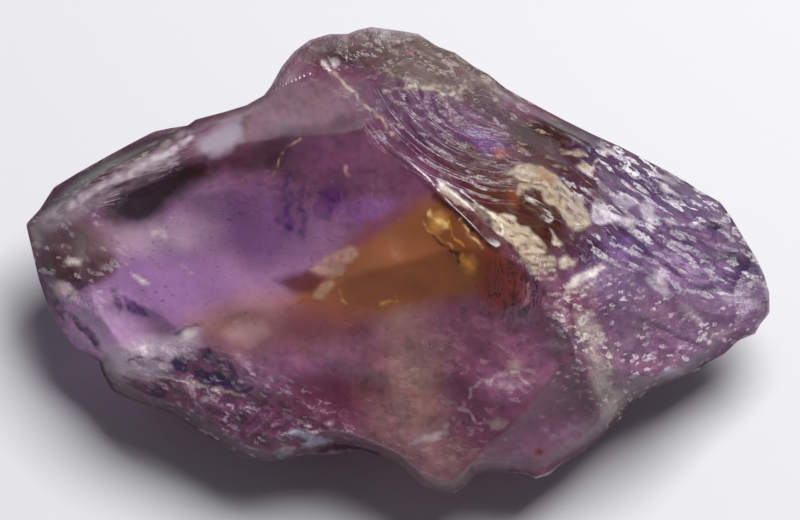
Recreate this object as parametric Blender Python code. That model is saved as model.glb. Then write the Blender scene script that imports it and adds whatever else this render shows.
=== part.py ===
"""A rough ametrine: one broken lump of clear two-coloured quartz, lying on its flattest fracture face.

The stone is two fracture surfaces that meet along a sharp, wandering rim: the upper one, which faces the
viewer, and the under one. Each is a blunt dome cut by flat break planes and by shell-shaped scars where
flakes came off. All forms are worked out in the slanting picture plane from which the rim was read, and
then turned into the upright frame: +X along the stone, +Y away from the viewer, +Z up.
"""

import math
from collections import namedtuple

import bmesh
import bpy
import numpy as np
from mathutils import Vector, noise

# Driving dimensions
LENGTH_MM = 52.0  # tip to tip
VIEW_ELEVATION = math.radians(60)  # how steeply the rim is seen in the picture
CROWN_MM = 11.5  # rise of the upper dome over the rim surface
CROWN_BLUNTNESS = 0.62  # exponent of the dome: the smaller, the flatter the top and the steeper the rim
KEEL_MM = 13.8  # drop of the under dome, before the resting face cuts it
KEEL_BLUNTNESS = 0.55
REST_DROP_MM = 9.4  # how far the resting face lies under the middle of the rim surface
RIM_HEIGHT_MM = 1.0  # the rim surface, at the middle of the picture
RIM_LEAN = -0.22  # its slope up the picture: the near edge leans towards the viewer
RIM_SAG = 0.0049  # per mm: both tips bend away from the viewer
RIM_WAVER_MM = 0.9

# The picture plane: pixels of the reference picture, read by eye from left and from top
TIP_TO_TIP_PX = 746.5
CENTRE_PX = (400.0, 262.0)
MM_PER_PX = LENGTH_MM / TIP_TO_TIP_PX
METRES_PER_MM = 0.001

# Mesh fineness
CELLS = 150  # across one surface
TRIANGLES_KEPT = 9400
RIM_MERGE_MM = 0.002

# The rim as it is seen, clockwise from the left tip
RIM_PX = [
    (24, 224), (38, 209), (52, 187), (77, 172), (102, 158), (128, 144), (153, 131), (168, 128), (187, 125),
    (195, 119), (222, 112), (245, 105), (263, 95), (270, 86), (281, 66), (293, 51), (309, 39), (329, 33),
    (347, 33), (357, 29), (371, 26), (400, 30), (418, 33), (438, 46), (455, 52), (474, 66), (489, 74),
    (506, 88), (533, 103), (563, 119), (591, 133), (622, 147), (645, 159), (668, 171), (686, 181),
    (701, 191), (721, 202), (732, 217), (744, 237), (757, 258), (765, 275), (770, 293), (770, 313),
    (760, 325), (755, 334), (739, 340), (724, 354), (706, 363), (696, 372), (676, 379), (655, 388),
    (637, 400), (625, 408), (619, 419), (608, 426), (602, 434), (584, 449), (558, 464), (548, 473),
    (535, 477), (527, 473), (510, 471), (487, 470), (474, 473), (464, 484), (454, 491), (436, 490),
    (423, 484), (410, 474), (400, 463), (383, 455), (362, 449), (332, 453), (306, 453), (286, 458),
    (268, 460), (242, 456), (219, 441), (199, 430), (176, 414), (148, 405), (128, 398), (112, 390),
    (102, 372), (99, 361), (74, 347), (61, 331), (48, 308), (38, 280), (33, 260),
]

# Break planes: a point on the plane in the picture, its height there in mm over the rim surface,
# the way it falls (degrees, 0 right, 90 up the picture) and its fall in mm per mm
Break = namedtuple("Break", "name x y height falls_to fall")
UPPER_BREAKS = [
    Break("window", 445, 200, 8.8, 173, 0.256),
    Break("hackle_face", 430, 185, 8.6, 74, 0.738),
    Break("knob_face", 322, 64, 4.2, 130, 0.50),
    Break("knob_top", 322, 60, 3.9, 108, 2.10),
    Break("grey_shoulder", 383, 84, 4.3, 80, 1.15),
    Break("right_lobe", 545, 250, 8.3, 6, 0.47),
    Break("lobe_end", 573, 335, 7.5, -15, 0.67),
    Break("right_shoulder", 615, 167, 2.3, 62, 1.10),
    Break("foot", 500, 280, 8.6, -104, 0.47),
    Break("left_foot", 250, 330, 5.6, -114, 0.58),
    Break("left_tip", 90, 250, 2.9, 186, 0.57),
    Break("left_chip", 72, 325, 1.1, 215, 1.00),
    Break("back_left_bevel", 80, 172, 0.4, 127, 1.60),
    Break("back_bevel", 200, 120, 0.4, 110, 1.50),
    Break("front_bevel", 540, 440, 2.2, -70, 1.00),
]
UNDER_BREAKS = [
    Break("back_wall", 400, 90, 7.6, 88, 1.50),
    Break("back_left_wall", 190, 170, 6.6, 120, 1.10),
    Break("back_right_wall", 620, 190, 6.6, 55, 1.10),
    Break("left_under", 110, 270, 5.0, 183, 0.75),
    Break("right_under", 690, 290, 4.8, -8, 0.75),
    Break("front_under", 440, 440, 5.0, -90, 1.05),
    Break("front_left_under", 190, 375, 4.6, 238, 0.95),
    Break("front_right_under", 620, 380, 4.6, -52, 0.90),
]

# Ellipses in the picture: centre, half length and half width in pixels, turn in degrees anticlockwise
Zone = namedtuple("Zone", "x y half_length half_width turn")

# Flake scars: their ellipse and their depth in mm
Scar = namedtuple("Scar", "name zone depth")
UPPER_SCARS = [
    Scar("window_bowl", Zone(235, 245, 140, 58, 18), 1.00),
    Scar("shaded_hollow", Zone(150, 194, 62, 20, 27), 0.75),
    Scar("knob_bowl", Zone(318, 122, 46, 36, -35), 0.50),
    Scar("hackle_bowl", Zone(462, 138, 84, 34, -30), 0.60),
    Scar("grey_bowl", Zone(440, 70, 46, 15, -12), 0.35),
    Scar("citrine_bowl", Zone(385, 290, 78, 44, 12), 0.30),
    Scar("feather_gash", Zone(484, 221, 60, 13, -38), 0.60),
    Scar("hook_hollow", Zone(528, 214, 44, 20, -58), 0.65),
    Scar("dark_hollow", Zone(562, 150, 46, 16, -24), 0.45),
    Scar("lobe_upper_bowl", Zone(652, 200, 58, 22, -30), 0.45),
    Scar("lobe_middle_bowl", Zone(642, 258, 62, 26, -20), 0.50),
    Scar("lobe_tip_bowl", Zone(722, 280, 40, 26, -14), 0.40),
    Scar("lobe_lower_bowl", Zone(655, 340, 54, 24, 24), 0.45),
    Scar("lower_right_bowl", Zone(520, 350, 52, 46, 10), 0.55),
    Scar("corner_bowl", Zone(548, 420, 44, 26, 30), 0.40),
    Scar("foot_bowl", Zone(447, 420, 40, 48, 8), 0.45),
    Scar("pink_bowl", Zone(335, 400, 58, 38, -6), 0.55),
    Scar("flake_bowl", Zone(215, 382, 58, 24, -24), 0.60),
    Scar("left_bowl", Zone(145, 330, 56, 32, -24), 0.60),
    Scar("tip_bowl", Zone(64, 248, 34, 20, 10), 0.50),
    Scar("edge_chip", Zone(80, 322, 38, 12, -52), 0.50),
    Scar("rim_chip_one", Zone(222, 136, 26, 12, 20), 0.40),
    Scar("rim_chip_two", Zone(396, 457, 26, 13, -35), 0.45),
    Scar("rim_chip_three", Zone(290, 444, 36, 13, 3), 0.40),
    Scar("rim_chip_four", Zone(628, 398, 16, 24, 0), 0.40),
    Scar("rim_chip_five", Zone(744, 240, 13, 26, 20), 0.35),
    Scar("rim_chip_six", Zone(505, 462, 30, 11, 4), 0.40),
]
UNDER_SCARS = [
    Scar("back_bowl", Zone(330, 120, 80, 50, 20), 1.30),
    Scar("back_mid_bowl", Zone(470, 130, 66, 52, -20), 1.10),
    Scar("back_right_bowl", Zone(600, 200, 72, 46, -30), 1.10),
    Scar("back_left_bowl", Zone(190, 190, 80, 44, 25), 1.10),
    Scar("left_under_bowl", Zone(110, 280, 56, 50, -30), 0.90),
    Scar("right_under_bowl", Zone(700, 280, 56, 56, 0), 0.90),
    Scar("front_left_bowl", Zone(210, 380, 74, 34, -20), 0.90),
    Scar("front_bowl", Zone(340, 425, 60, 40, 0), 0.90),
    Scar("front_mid_bowl", Zone(450, 445, 50, 44, 10), 0.80),
    Scar("front_right_bowl", Zone(580, 405, 64, 44, 35), 0.90),
    Scar("middle_bowl", Zone(400, 230, 90, 70, 0), 0.50),
]

# Raised crests: half width in pixels, height in mm and the corners of their line in the picture
Crest = namedtuple("Crest", "name half_width height corners")
UPPER_CRESTS = [
    Crest("rim_streak", 6, 0.30, [(44, 216), (74, 205), (99, 191), (137, 170), (163, 161), (189, 144)]),
    Crest("spine_top", 5, 0.25, [(320, 64), (345, 98), (372, 130), (405, 160), (432, 186)]),
    Crest("spine_middle", 6, 0.30, [(445, 200), (500, 246), (540, 280), (562, 305)]),
    Crest("spine_foot", 11, 0.55, [(562, 305), (573, 345), (590, 390), (604, 420)]),
    Crest("hook_crest", 6, 0.40, [(502, 166), (535, 172), (562, 192), (584, 226)]),
    Crest("shoulder_crest", 5, 0.25, [(383, 86), (405, 78), (431, 89), (455, 95), (487, 84)]),
]

# Stepped rings of the hackly breaks: the far point they run around, their zone, tread and rise in mm
Rings = namedtuple("Rings", "name far_point zone tread rise")
RING_SETS = [
    Rings("lobe_hackle", (860, -140), Zone(670, 262, 120, 92, -28), 2.1, 0.46),
    Rings("face_hackle", (560, 30), Zone(462, 138, 92, 44, -34), 1.3, 0.30),
    Rings("foot_hackle", (600, 640), Zone(240, 395, 110, 40, -22), 2.4, 0.34),
]
RISER_SHARE = 0.28  # share of the tread taken by the riser

# Unevenness: height or shift in mm, and the size of its features in mm
LUMP_MM, LUMP_SIZE = 0.34, 7.0
GRIT_MM, GRIT_SIZE = 0.20, 2.5
WARP_MM, WARP_SIZE = 0.85, 4.5  # how far the edges of breaks and scars wander
CREASE_MM = 0.06  # rounding where two breaks meet
CALM_SHARE = 0.15  # the band inside the rim where the wander dies out, as a share of the reach
CLOSING_SHARE = 0.05  # the band where the two surfaces close
THINNEST_MM = 0.25  # of either surface over the rim surface, inside that band

UPPER_SEED, UNDER_SEED = 1.0, 20.0

QUARTZ_TINT = (0.22, 0.11, 0.24, 1.0)  # mid violet
QUARTZ_CLARITY = 0.8
QUARTZ_IOR = 1.544
QUARTZ_ROUGHNESS = 0.12


def to_mm(x_px, y_px):
    """A place in the picture as millimetres right of and above its centre."""
    return (x_px - CENTRE_PX[0]) * MM_PER_PX, (CENTRE_PX[1] - y_px) * MM_PER_PX


RIM_MM = np.array([to_mm(x, y) for x, y in RIM_PX])


def waves(points, size_mm, seed):
    """Smooth noise from -1 to 1 with features about size_mm across."""
    return np.array([noise.noise(Vector((u / size_mm, v / size_mm, seed))) for u, v in points])


def rim_reach(angles):
    """Distance from the centre to the rim along each angle."""
    rim_angles = np.arctan2(RIM_MM[:, 1], RIM_MM[:, 0])
    order = np.argsort(rim_angles)
    corners = RIM_MM[order]
    after = np.searchsorted(rim_angles[order], angles) % len(corners)
    start, end = corners[after - 1], corners[after]
    side = end - start
    direction = np.stack([np.cos(angles), np.sin(angles)], axis=1)
    return (start[:, 0] * end[:, 1] - start[:, 1] * end[:, 0]) / (
        direction[:, 0] * side[:, 1] - direction[:, 1] * side[:, 0]
    )


def share_of_reach(points):
    """0 at the centre of the picture plane and 1 on the rim."""
    angles = np.arctan2(points[:, 1], points[:, 0])
    return np.hypot(points[:, 0], points[:, 1]) / rim_reach(angles)


def rim_surface(points):
    """The gently warped surface that the rim lies in: its near edge leans up towards the viewer."""
    u, v = points[:, 0], points[:, 1]
    return RIM_HEIGHT_MM + RIM_LEAN * v - RIM_SAG * u**2 + RIM_WAVER_MM * waves(points, 13.0, 3.0)


def dome(points, rise, bluntness):
    inside = np.clip(1.0 - share_of_reach(points) ** 2, 0.0, 1.0)
    return rise * inside**bluntness


def break_plane(points, plane):
    u, v = to_mm(plane.x, plane.y)
    way = math.radians(plane.falls_to)
    along = (points[:, 0] - u) * math.cos(way) + (points[:, 1] - v) * math.sin(way)
    return plane.height - plane.fall * along


def lower_of(first, second):
    """The lower of two surfaces, with the crease between them slightly rounded."""
    gap = np.clip(0.5 + (second - first) / (4 * CREASE_MM), 0.0, 1.0)
    return second + (first - second) * gap - 2 * CREASE_MM * gap * (1.0 - gap)


def faceted_dome(points, rise, bluntness, breaks):
    surface = dome(points, rise, bluntness)
    for plane in breaks:
        surface = lower_of(surface, break_plane(points, plane))
    return surface


def zone_axes(points, zone):
    """Places along and across a turned ellipse, in shares of its half sizes."""
    away = points - np.array(to_mm(zone.x, zone.y))
    turn = math.radians(zone.turn)
    along = away[:, 0] * math.cos(turn) + away[:, 1] * math.sin(turn)
    across = away[:, 1] * math.cos(turn) - away[:, 0] * math.sin(turn)
    return along / (zone.half_length * MM_PER_PX), across / (zone.half_width * MM_PER_PX)


def zone_share(points, zone):
    """1 inside the ellipse, falling to 0 at its border."""
    along, across = zone_axes(points, zone)
    return np.clip(2.0 * (1.0 - along**2 - across**2), 0.0, 1.0)


def scar_surface(points, ground, zone, depth):
    """A shell-shaped hollow sunk under the ground's own tangent plane at the scar's centre."""
    centre = np.array(to_mm(zone.x, zone.y))
    reach = 0.5  # mm, the span over which the ground's slope is read
    probes = centre + np.array([(0, 0), (reach, 0), (-reach, 0), (0, reach), (0, -reach)])
    level, east, west, north, south = ground(probes)
    slope = np.array([east - west, north - south]) / (2 * reach)
    along, across = zone_axes(points, zone)
    return level + (points - centre) @ slope + depth * (along**2 + across**2 - 1.0)


def distance_to_line(points, corners_px):
    """How far in mm each point lies from a line of corners in the picture."""
    corners = np.array([to_mm(x, y) for x, y in corners_px])
    nearest = np.full(len(points), np.inf)
    for start, end in zip(corners[:-1], corners[1:]):
        side = end - start
        share = np.clip((points - start) @ side / (side @ side), 0.0, 1.0)
        foot = start + share[:, None] * side
        nearest = np.minimum(nearest, np.linalg.norm(points - foot, axis=1))
    return nearest


def crests(points):
    """Narrow raised lines, broken up along their length."""
    total = np.zeros(len(points))
    broken = 0.75 + 0.5 * waves(points, 2.2, 31.0)
    for crest in UPPER_CRESTS:
        share = distance_to_line(points, crest.corners) / (crest.half_width * MM_PER_PX)
        total = np.maximum(total, crest.height * np.exp(-(share**2)) * broken)
    return total


def ledges(points):
    """Stepped rings, each set fading out towards the border of its zone."""
    wobble = 1.2 * waves(points, 6.0, 11.0) + 0.45 * waves(points, 2.4, 13.0)
    strength = np.clip(0.65 + 1.2 * waves(points, 5.0, 17.0), 0.1, 1.2)
    total = np.zeros(len(points))
    for rings in RING_SETS:
        travel = np.linalg.norm(points - np.array(to_mm(*rings.far_point)), axis=1) + wobble
        phase = np.mod(travel / rings.tread, 1.0)
        step = np.where(phase < 1.0 - RISER_SHARE, phase / (1.0 - RISER_SHARE), (1.0 - phase) / RISER_SHARE)
        total += rings.rise * strength * zone_share(points, rings.zone) * (step - 0.5)
    return total


def wandered(points, seed):
    """The points shifted by smooth noise, so that edges drawn through them wander, but not at the rim."""
    shift = np.stack([waves(points, WARP_SIZE, seed), waves(points, WARP_SIZE, seed + 2.0)], axis=1)
    calm = np.clip((1.0 - share_of_reach(points)) / CALM_SHARE, 0.0, 1.0)
    return points + WARP_MM * shift * calm[:, None]


def relief(points, rise, bluntness, breaks, scars, seed):
    """Height of one fracture surface over the rim surface, closing to nothing at the rim."""

    def ground(places):
        return faceted_dome(places, rise, bluntness, breaks)

    bent = wandered(points, seed + 40.0)
    surface = ground(bent)
    for scar in scars:
        surface = lower_of(surface, scar_surface(bent, ground, scar.zone, scar.depth))
    surface = surface + LUMP_MM * waves(points, LUMP_SIZE, seed)
    surface = surface + GRIT_MM * waves(points, GRIT_SIZE, seed + 5.0)
    closing = np.clip((1.0 - share_of_reach(points)) / CLOSING_SHARE, 0.0, 1.0)
    return np.maximum(surface, THINNEST_MM) * closing


def disc_of_square(squares):
    """Maps the square -1..1 onto the unit disc, ring by ring, so that its border becomes the circle."""
    a, b = squares[:, 0], squares[:, 1]
    wide = np.abs(a) > np.abs(b)
    reach = np.where(wide, a, b)
    safe = np.where(reach == 0, 1.0, reach)
    turn = np.where(wide, math.pi / 4 * b / safe, math.pi / 2 - math.pi / 4 * a / safe)
    return np.stack([reach * np.cos(turn), reach * np.sin(turn)], axis=1)


def upright(points, towards):
    """Picture-plane places and heights towards the viewer, turned into the upright frame."""
    sine, cosine = math.sin(VIEW_ELEVATION), math.cos(VIEW_ELEVATION)
    x = points[:, 0]
    y = points[:, 1] * sine - towards * cosine
    z = points[:, 1] * cosine + towards * sine + REST_DROP_MM
    return np.stack([x, y, z], axis=1)


def surface_mesh(side):
    """One of the two fracture surfaces, as a bmesh in millimetres. side is 'upper' or 'under'."""
    sheet = bmesh.new()
    bmesh.ops.create_grid(sheet, x_segments=CELLS, y_segments=CELLS, size=1.0)
    disc = disc_of_square(np.array([vertex.co.xy for vertex in sheet.verts]))
    angles = np.arctan2(disc[:, 1], disc[:, 0])
    points = disc * rim_reach(angles)[:, None]
    middle = rim_surface(points)
    if side == "upper":
        heights = relief(points, CROWN_MM, CROWN_BLUNTNESS, UPPER_BREAKS, UPPER_SCARS, UPPER_SEED)
        added = (ledges(points) + crests(points)) * np.clip(heights, 0.0, 1.0)
        towards = middle + np.maximum(heights + added, 0.0)
    else:
        towards = middle - relief(points, KEEL_MM, KEEL_BLUNTNESS, UNDER_BREAKS, UNDER_SCARS, UNDER_SEED)
    for vertex, place in zip(sheet.verts, upright(points, towards)):
        vertex.co = place
    if side == "under":
        bmesh.ops.reverse_faces(sheet, faces=sheet.faces)
    return sheet


def stone_mesh():
    """Both surfaces joined at the rim, with the resting face cut flat."""
    stone = bmesh.new()
    for side in ("upper", "under"):
        sheet = surface_mesh(side)
        piece = bpy.data.meshes.new(side)
        sheet.to_mesh(piece)
        sheet.free()
        stone.from_mesh(piece)
        bpy.data.meshes.remove(piece)
    bmesh.ops.remove_doubles(stone, verts=stone.verts, dist=RIM_MERGE_MM)
    everything = stone.verts[:] + stone.edges[:] + stone.faces[:]
    cut = bmesh.ops.bisect_plane(
        stone, geom=everything, dist=RIM_MERGE_MM, plane_co=(0, 0, 0), plane_no=(0, 0, -1), clear_outer=True
    )
    border = [edge for edge in cut["geom_cut"] if isinstance(edge, bmesh.types.BMEdge)]
    bmesh.ops.holes_fill(stone, edges=border, sides=0)
    bmesh.ops.triangulate(stone, faces=stone.faces)
    return stone


def thinned(stone):
    """The stone's mesh with triangles kept where it bends and merged where it is flat."""
    dense = bpy.data.meshes.new("dense")
    stone.to_mesh(dense)
    source = bpy.data.objects.new("dense", dense)
    bpy.context.scene.collection.objects.link(source)
    thinner = source.modifiers.new("thinner", "DECIMATE")
    thinner.ratio = TRIANGLES_KEPT / len(dense.polygons)
    graph = bpy.context.evaluated_depsgraph_get()
    mesh = bpy.data.meshes.new_from_object(source.evaluated_get(graph))
    bpy.data.objects.remove(source)
    return mesh


def rest_on_origin(mesh):
    """Moves the stone so that the middle of its footprint's box is the origin, and scales it to metres."""
    places = np.array([vertex.co for vertex in mesh.vertices])
    low, high = places.min(axis=0), places.max(axis=0)
    shift = np.array([(low[0] + high[0]) / 2, (low[1] + high[1]) / 2, low[2]])
    mesh.vertices.foreach_set("co", ((places - shift) * METRES_PER_MM).astype(np.float32).ravel())
    mesh.update()


def clear_quartz():
    material = bpy.data.materials.new("ametrine")
    material.use_nodes = True
    shader = material.node_tree.nodes["Principled BSDF"]
    shader.inputs["Base Color"].default_value = QUARTZ_TINT
    shader.inputs["Roughness"].default_value = QUARTZ_ROUGHNESS
    shader.inputs["IOR"].default_value = QUARTZ_IOR
    shader.inputs["Transmission Weight"].default_value = QUARTZ_CLARITY
    return material


def main():
    for old in list(bpy.data.objects):
        bpy.data.objects.remove(old)
    mesh = thinned(stone_mesh())
    rest_on_origin(mesh)
    mesh.name = "ametrine"
    stone = bpy.data.objects.new("ametrine", mesh)
    mesh.materials.clear()
    mesh.materials.append(clear_quartz())
    bpy.context.scene.collection.objects.link(stone)


main()
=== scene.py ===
"""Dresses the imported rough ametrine: the fine fracture surface, its two-coloured quartz and a plain stage.

The stone's forms are worked out in the slanting picture plane from which its rim was read, u to the right
and v up the picture, with heights towards the viewer, and are then turned upright, as in the solid.
"""

import math
from collections import namedtuple

import bmesh
import bpy
import numpy as np
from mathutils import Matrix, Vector, noise


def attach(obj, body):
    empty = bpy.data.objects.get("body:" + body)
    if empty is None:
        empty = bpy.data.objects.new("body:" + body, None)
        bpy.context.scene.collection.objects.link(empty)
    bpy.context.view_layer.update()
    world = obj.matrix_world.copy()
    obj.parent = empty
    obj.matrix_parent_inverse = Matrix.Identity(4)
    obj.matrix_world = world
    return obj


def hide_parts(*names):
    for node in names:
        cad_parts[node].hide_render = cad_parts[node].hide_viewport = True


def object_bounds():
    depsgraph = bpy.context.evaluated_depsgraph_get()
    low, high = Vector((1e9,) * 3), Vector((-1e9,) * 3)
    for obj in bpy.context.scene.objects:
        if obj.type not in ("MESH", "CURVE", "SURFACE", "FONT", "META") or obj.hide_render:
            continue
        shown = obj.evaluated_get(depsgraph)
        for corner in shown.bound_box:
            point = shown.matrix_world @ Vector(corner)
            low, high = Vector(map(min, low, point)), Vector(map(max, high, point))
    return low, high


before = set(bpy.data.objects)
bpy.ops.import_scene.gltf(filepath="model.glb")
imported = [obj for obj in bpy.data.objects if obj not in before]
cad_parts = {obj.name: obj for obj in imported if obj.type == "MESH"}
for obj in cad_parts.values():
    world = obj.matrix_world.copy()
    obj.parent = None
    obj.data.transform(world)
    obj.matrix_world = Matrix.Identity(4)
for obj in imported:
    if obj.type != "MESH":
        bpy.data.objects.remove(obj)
CAD_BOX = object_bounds()
STONE_NODE = "ametrine"

bl_info = {
    "name": "Rough ametrine",
    "version": (1, 0, 0),
    "blender": (4, 5, 0),
    "location": "3D View > Sidebar > Ametrine",
    "description": "Builds a rough ametrine with a fine fracture surface, and a plain stage for it",
    "category": "Add Mesh",
}

METRES_PER_MM = 0.001
AIM = (0.00018, 0.00037, 0.00922)  # metres, what the middle of the picture shows

# Driving dimensions, as in the solid
LENGTH_MM = 52.0  # tip to tip
VIEW_ELEVATION = math.radians(60)  # how steeply the rim is seen in the picture
CROWN_MM = 11.5
CROWN_BLUNTNESS = 0.62
KEEL_MM = 13.8
KEEL_BLUNTNESS = 0.55
REST_DROP_MM = 9.4
RIM_HEIGHT_MM = 1.0
RIM_LEAN = -0.22
RIM_SAG = 0.0049
RIM_WAVER_MM, RIM_WAVER_SIZE = 0.9, 13.0

# The picture plane: pixels of the reference picture, read from left and from top
TIP_TO_TIP_PX = 746.5
CENTRE_PX = (400.0, 262.0)
MM_PER_PX = LENGTH_MM / TIP_TO_TIP_PX

# Mesh fineness
CELLS = (390, 212)  # along and across one surface
TRIANGLES_KEPT = 190000
RIM_MERGE_MM = 0.002
UNDERSIDE_FIRST = 10.0  # how much sooner triangles are merged on the underside
RIM_BLEND_MM = 0.4  # height over which the upper surface's colours give way at the rim
SHARP_ANGLE = math.radians(38)  # edges between fracture faces stay crisp

# The rim as it is seen, clockwise from the left tip
RIM_PX = [
    (24, 224), (38, 209), (52, 187), (77, 172), (102, 158), (128, 144), (153, 131), (168, 128), (187, 125),
    (195, 119), (222, 112), (245, 105), (263, 95), (270, 86), (281, 66), (293, 51), (309, 39), (329, 33),
    (347, 33), (357, 29), (371, 26), (400, 30), (418, 33), (438, 46), (455, 52), (474, 66), (489, 74),
    (506, 88), (533, 103), (563, 119), (591, 133), (622, 147), (645, 159), (668, 171), (686, 181),
    (701, 191), (721, 202), (732, 217), (744, 237), (757, 258), (765, 275), (770, 293), (770, 313),
    (760, 325), (755, 334), (739, 340), (724, 354), (706, 363), (696, 372), (676, 379), (655, 388),
    (637, 400), (625, 408), (619, 419), (608, 426), (602, 434), (584, 449), (558, 464), (548, 473),
    (535, 477), (527, 473), (510, 471), (487, 470), (474, 473), (464, 484), (454, 491), (436, 490),
    (423, 484), (410, 474), (400, 463), (383, 455), (362, 449), (332, 453), (306, 453), (286, 458),
    (268, 460), (242, 456), (219, 441), (199, 430), (176, 414), (148, 405), (128, 398), (112, 390),
    (102, 372), (99, 361), (74, 347), (61, 331), (48, 308), (38, 280), (33, 260),
]

# Break planes: a point on the plane in the picture, its height there in mm over the rim surface,
# the way it falls (degrees, 0 right, 90 up the picture) and its fall in mm per mm
Break = namedtuple("Break", "name x y height falls_to fall")
UPPER_BREAKS = [
    Break("window", 445, 200, 8.8, 173, 0.256),
    Break("hackle_face", 430, 185, 8.6, 74, 0.738),
    Break("knob_face", 322, 64, 4.2, 130, 0.50),
    Break("knob_top", 322, 60, 3.9, 108, 2.10),
    Break("grey_shoulder", 383, 84, 4.3, 80, 1.15),
    Break("right_lobe", 545, 250, 8.3, 6, 0.47),
    Break("lobe_end", 573, 335, 7.5, -15, 0.67),
    Break("right_shoulder", 615, 167, 2.3, 62, 1.10),
    Break("foot", 500, 280, 8.6, -104, 0.47),
    Break("left_foot", 250, 330, 5.6, -114, 0.58),
    Break("left_tip", 90, 250, 2.9, 186, 0.57),
    Break("left_chip", 72, 325, 1.1, 215, 1.00),
    Break("back_left_bevel", 80, 172, 0.4, 127, 1.60),
    Break("back_bevel", 200, 120, 0.4, 110, 1.50),
    Break("front_bevel", 540, 440, 2.2, -70, 1.00),
]
UNDER_BREAKS = [
    Break("back_wall", 400, 90, 7.6, 88, 1.50),
    Break("back_left_wall", 190, 170, 6.6, 120, 1.10),
    Break("back_right_wall", 620, 190, 6.6, 55, 1.10),
    Break("left_under", 110, 270, 5.0, 183, 0.75),
    Break("right_under", 690, 290, 4.8, -8, 0.75),
    Break("front_under", 440, 440, 5.0, -90, 1.05),
    Break("front_left_under", 190, 375, 4.6, 238, 0.95),
    Break("front_right_under", 620, 380, 4.6, -52, 0.90),
]

# Ellipses in the picture: centre, half length and half width in pixels, turn in degrees anticlockwise
Zone = namedtuple("Zone", "x y half_length half_width turn")

# Flake scars: their ellipse and their depth in mm
Scar = namedtuple("Scar", "name zone depth")
UPPER_SCARS = [
    Scar("window_bowl", Zone(235, 245, 140, 58, 18), 1.00),
    Scar("shaded_hollow", Zone(150, 194, 62, 20, 27), 0.75),
    Scar("knob_bowl", Zone(318, 122, 46, 36, -35), 0.50),
    Scar("hackle_bowl", Zone(462, 138, 84, 34, -30), 0.60),
    Scar("grey_bowl", Zone(440, 70, 46, 15, -12), 0.35),
    Scar("citrine_bowl", Zone(385, 290, 78, 44, 12), 0.30),
    Scar("feather_gash", Zone(484, 221, 60, 13, -38), 0.60),
    Scar("hook_hollow", Zone(528, 214, 44, 20, -58), 0.65),
    Scar("dark_hollow", Zone(562, 150, 46, 16, -24), 0.45),
    Scar("lobe_upper_bowl", Zone(652, 200, 58, 22, -30), 0.45),
    Scar("lobe_middle_bowl", Zone(642, 258, 62, 26, -20), 0.50),
    Scar("lobe_tip_bowl", Zone(722, 280, 40, 26, -14), 0.40),
    Scar("lobe_lower_bowl", Zone(655, 340, 54, 24, 24), 0.45),
    Scar("lower_right_bowl", Zone(520, 350, 52, 46, 10), 0.55),
    Scar("corner_bowl", Zone(548, 420, 44, 26, 30), 0.40),
    Scar("foot_bowl", Zone(447, 420, 40, 48, 8), 0.45),
    Scar("pink_bowl", Zone(335, 400, 58, 38, -6), 0.55),
    Scar("flake_bowl", Zone(215, 382, 58, 24, -24), 0.60),
    Scar("left_bowl", Zone(145, 330, 56, 32, -24), 0.60),
    Scar("tip_bowl", Zone(64, 248, 34, 20, 10), 0.50),
    Scar("edge_chip", Zone(80, 322, 38, 12, -52), 0.50),
    Scar("rim_chip_one", Zone(222, 136, 26, 12, 20), 0.40),
    Scar("rim_chip_two", Zone(396, 457, 26, 13, -35), 0.45),
    Scar("rim_chip_three", Zone(290, 444, 36, 13, 3), 0.40),
    Scar("rim_chip_four", Zone(628, 398, 16, 24, 0), 0.40),
    Scar("rim_chip_five", Zone(744, 240, 13, 26, 20), 0.35),
    Scar("rim_chip_six", Zone(505, 462, 30, 11, 4), 0.40),
]
UNDER_SCARS = [
    Scar("back_bowl", Zone(330, 120, 80, 50, 20), 1.30),
    Scar("back_mid_bowl", Zone(470, 130, 66, 52, -20), 1.10),
    Scar("back_right_bowl", Zone(600, 200, 72, 46, -30), 1.10),
    Scar("back_left_bowl", Zone(190, 190, 80, 44, 25), 1.10),
    Scar("left_under_bowl", Zone(110, 280, 56, 50, -30), 0.90),
    Scar("right_under_bowl", Zone(700, 280, 56, 56, 0), 0.90),
    Scar("front_left_bowl", Zone(210, 380, 74, 34, -20), 0.90),
    Scar("front_bowl", Zone(340, 425, 60, 40, 0), 0.90),
    Scar("front_mid_bowl", Zone(450, 445, 50, 44, 10), 0.80),
    Scar("front_right_bowl", Zone(580, 405, 64, 44, 35), 0.90),
    Scar("middle_bowl", Zone(400, 230, 90, 70, 0), 0.50),
]

# Raised crests: half width in pixels, height in mm and the corners of their line in the picture
Crest = namedtuple("Crest", "name half_width height corners")
UPPER_CRESTS = [
    Crest("rim_streak", 6, 0.30, [(44, 216), (74, 205), (99, 191), (137, 170), (163, 161), (189, 144)]),
    Crest("spine_top", 5, 0.25, [(320, 64), (345, 98), (372, 130), (405, 160), (432, 186)]),
    Crest("spine_middle", 6, 0.30, [(445, 200), (500, 246), (540, 280), (562, 305)]),
    Crest("spine_foot", 11, 0.55, [(562, 305), (573, 345), (590, 390), (604, 420)]),
    Crest("hook_crest", 6, 0.40, [(502, 166), (535, 172), (562, 192), (584, 226)]),
    Crest("shoulder_crest", 5, 0.25, [(383, 86), (405, 78), (431, 89), (455, 95), (487, 84)]),
]

# Stepped rings of the hackly breaks: the far point they run around, their zone, tread and rise in mm
Rings = namedtuple("Rings", "name far_point zone tread rise")
RING_SETS = [
    Rings("lobe_hackle", (860, -140), Zone(670, 262, 120, 92, -28), 2.1, 0.46),
    Rings("face_hackle", (560, 30), Zone(462, 138, 92, 44, -34), 1.3, 0.30),
    Rings("foot_hackle", (600, 640), Zone(240, 395, 110, 40, -22), 2.4, 0.34),
]
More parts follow.
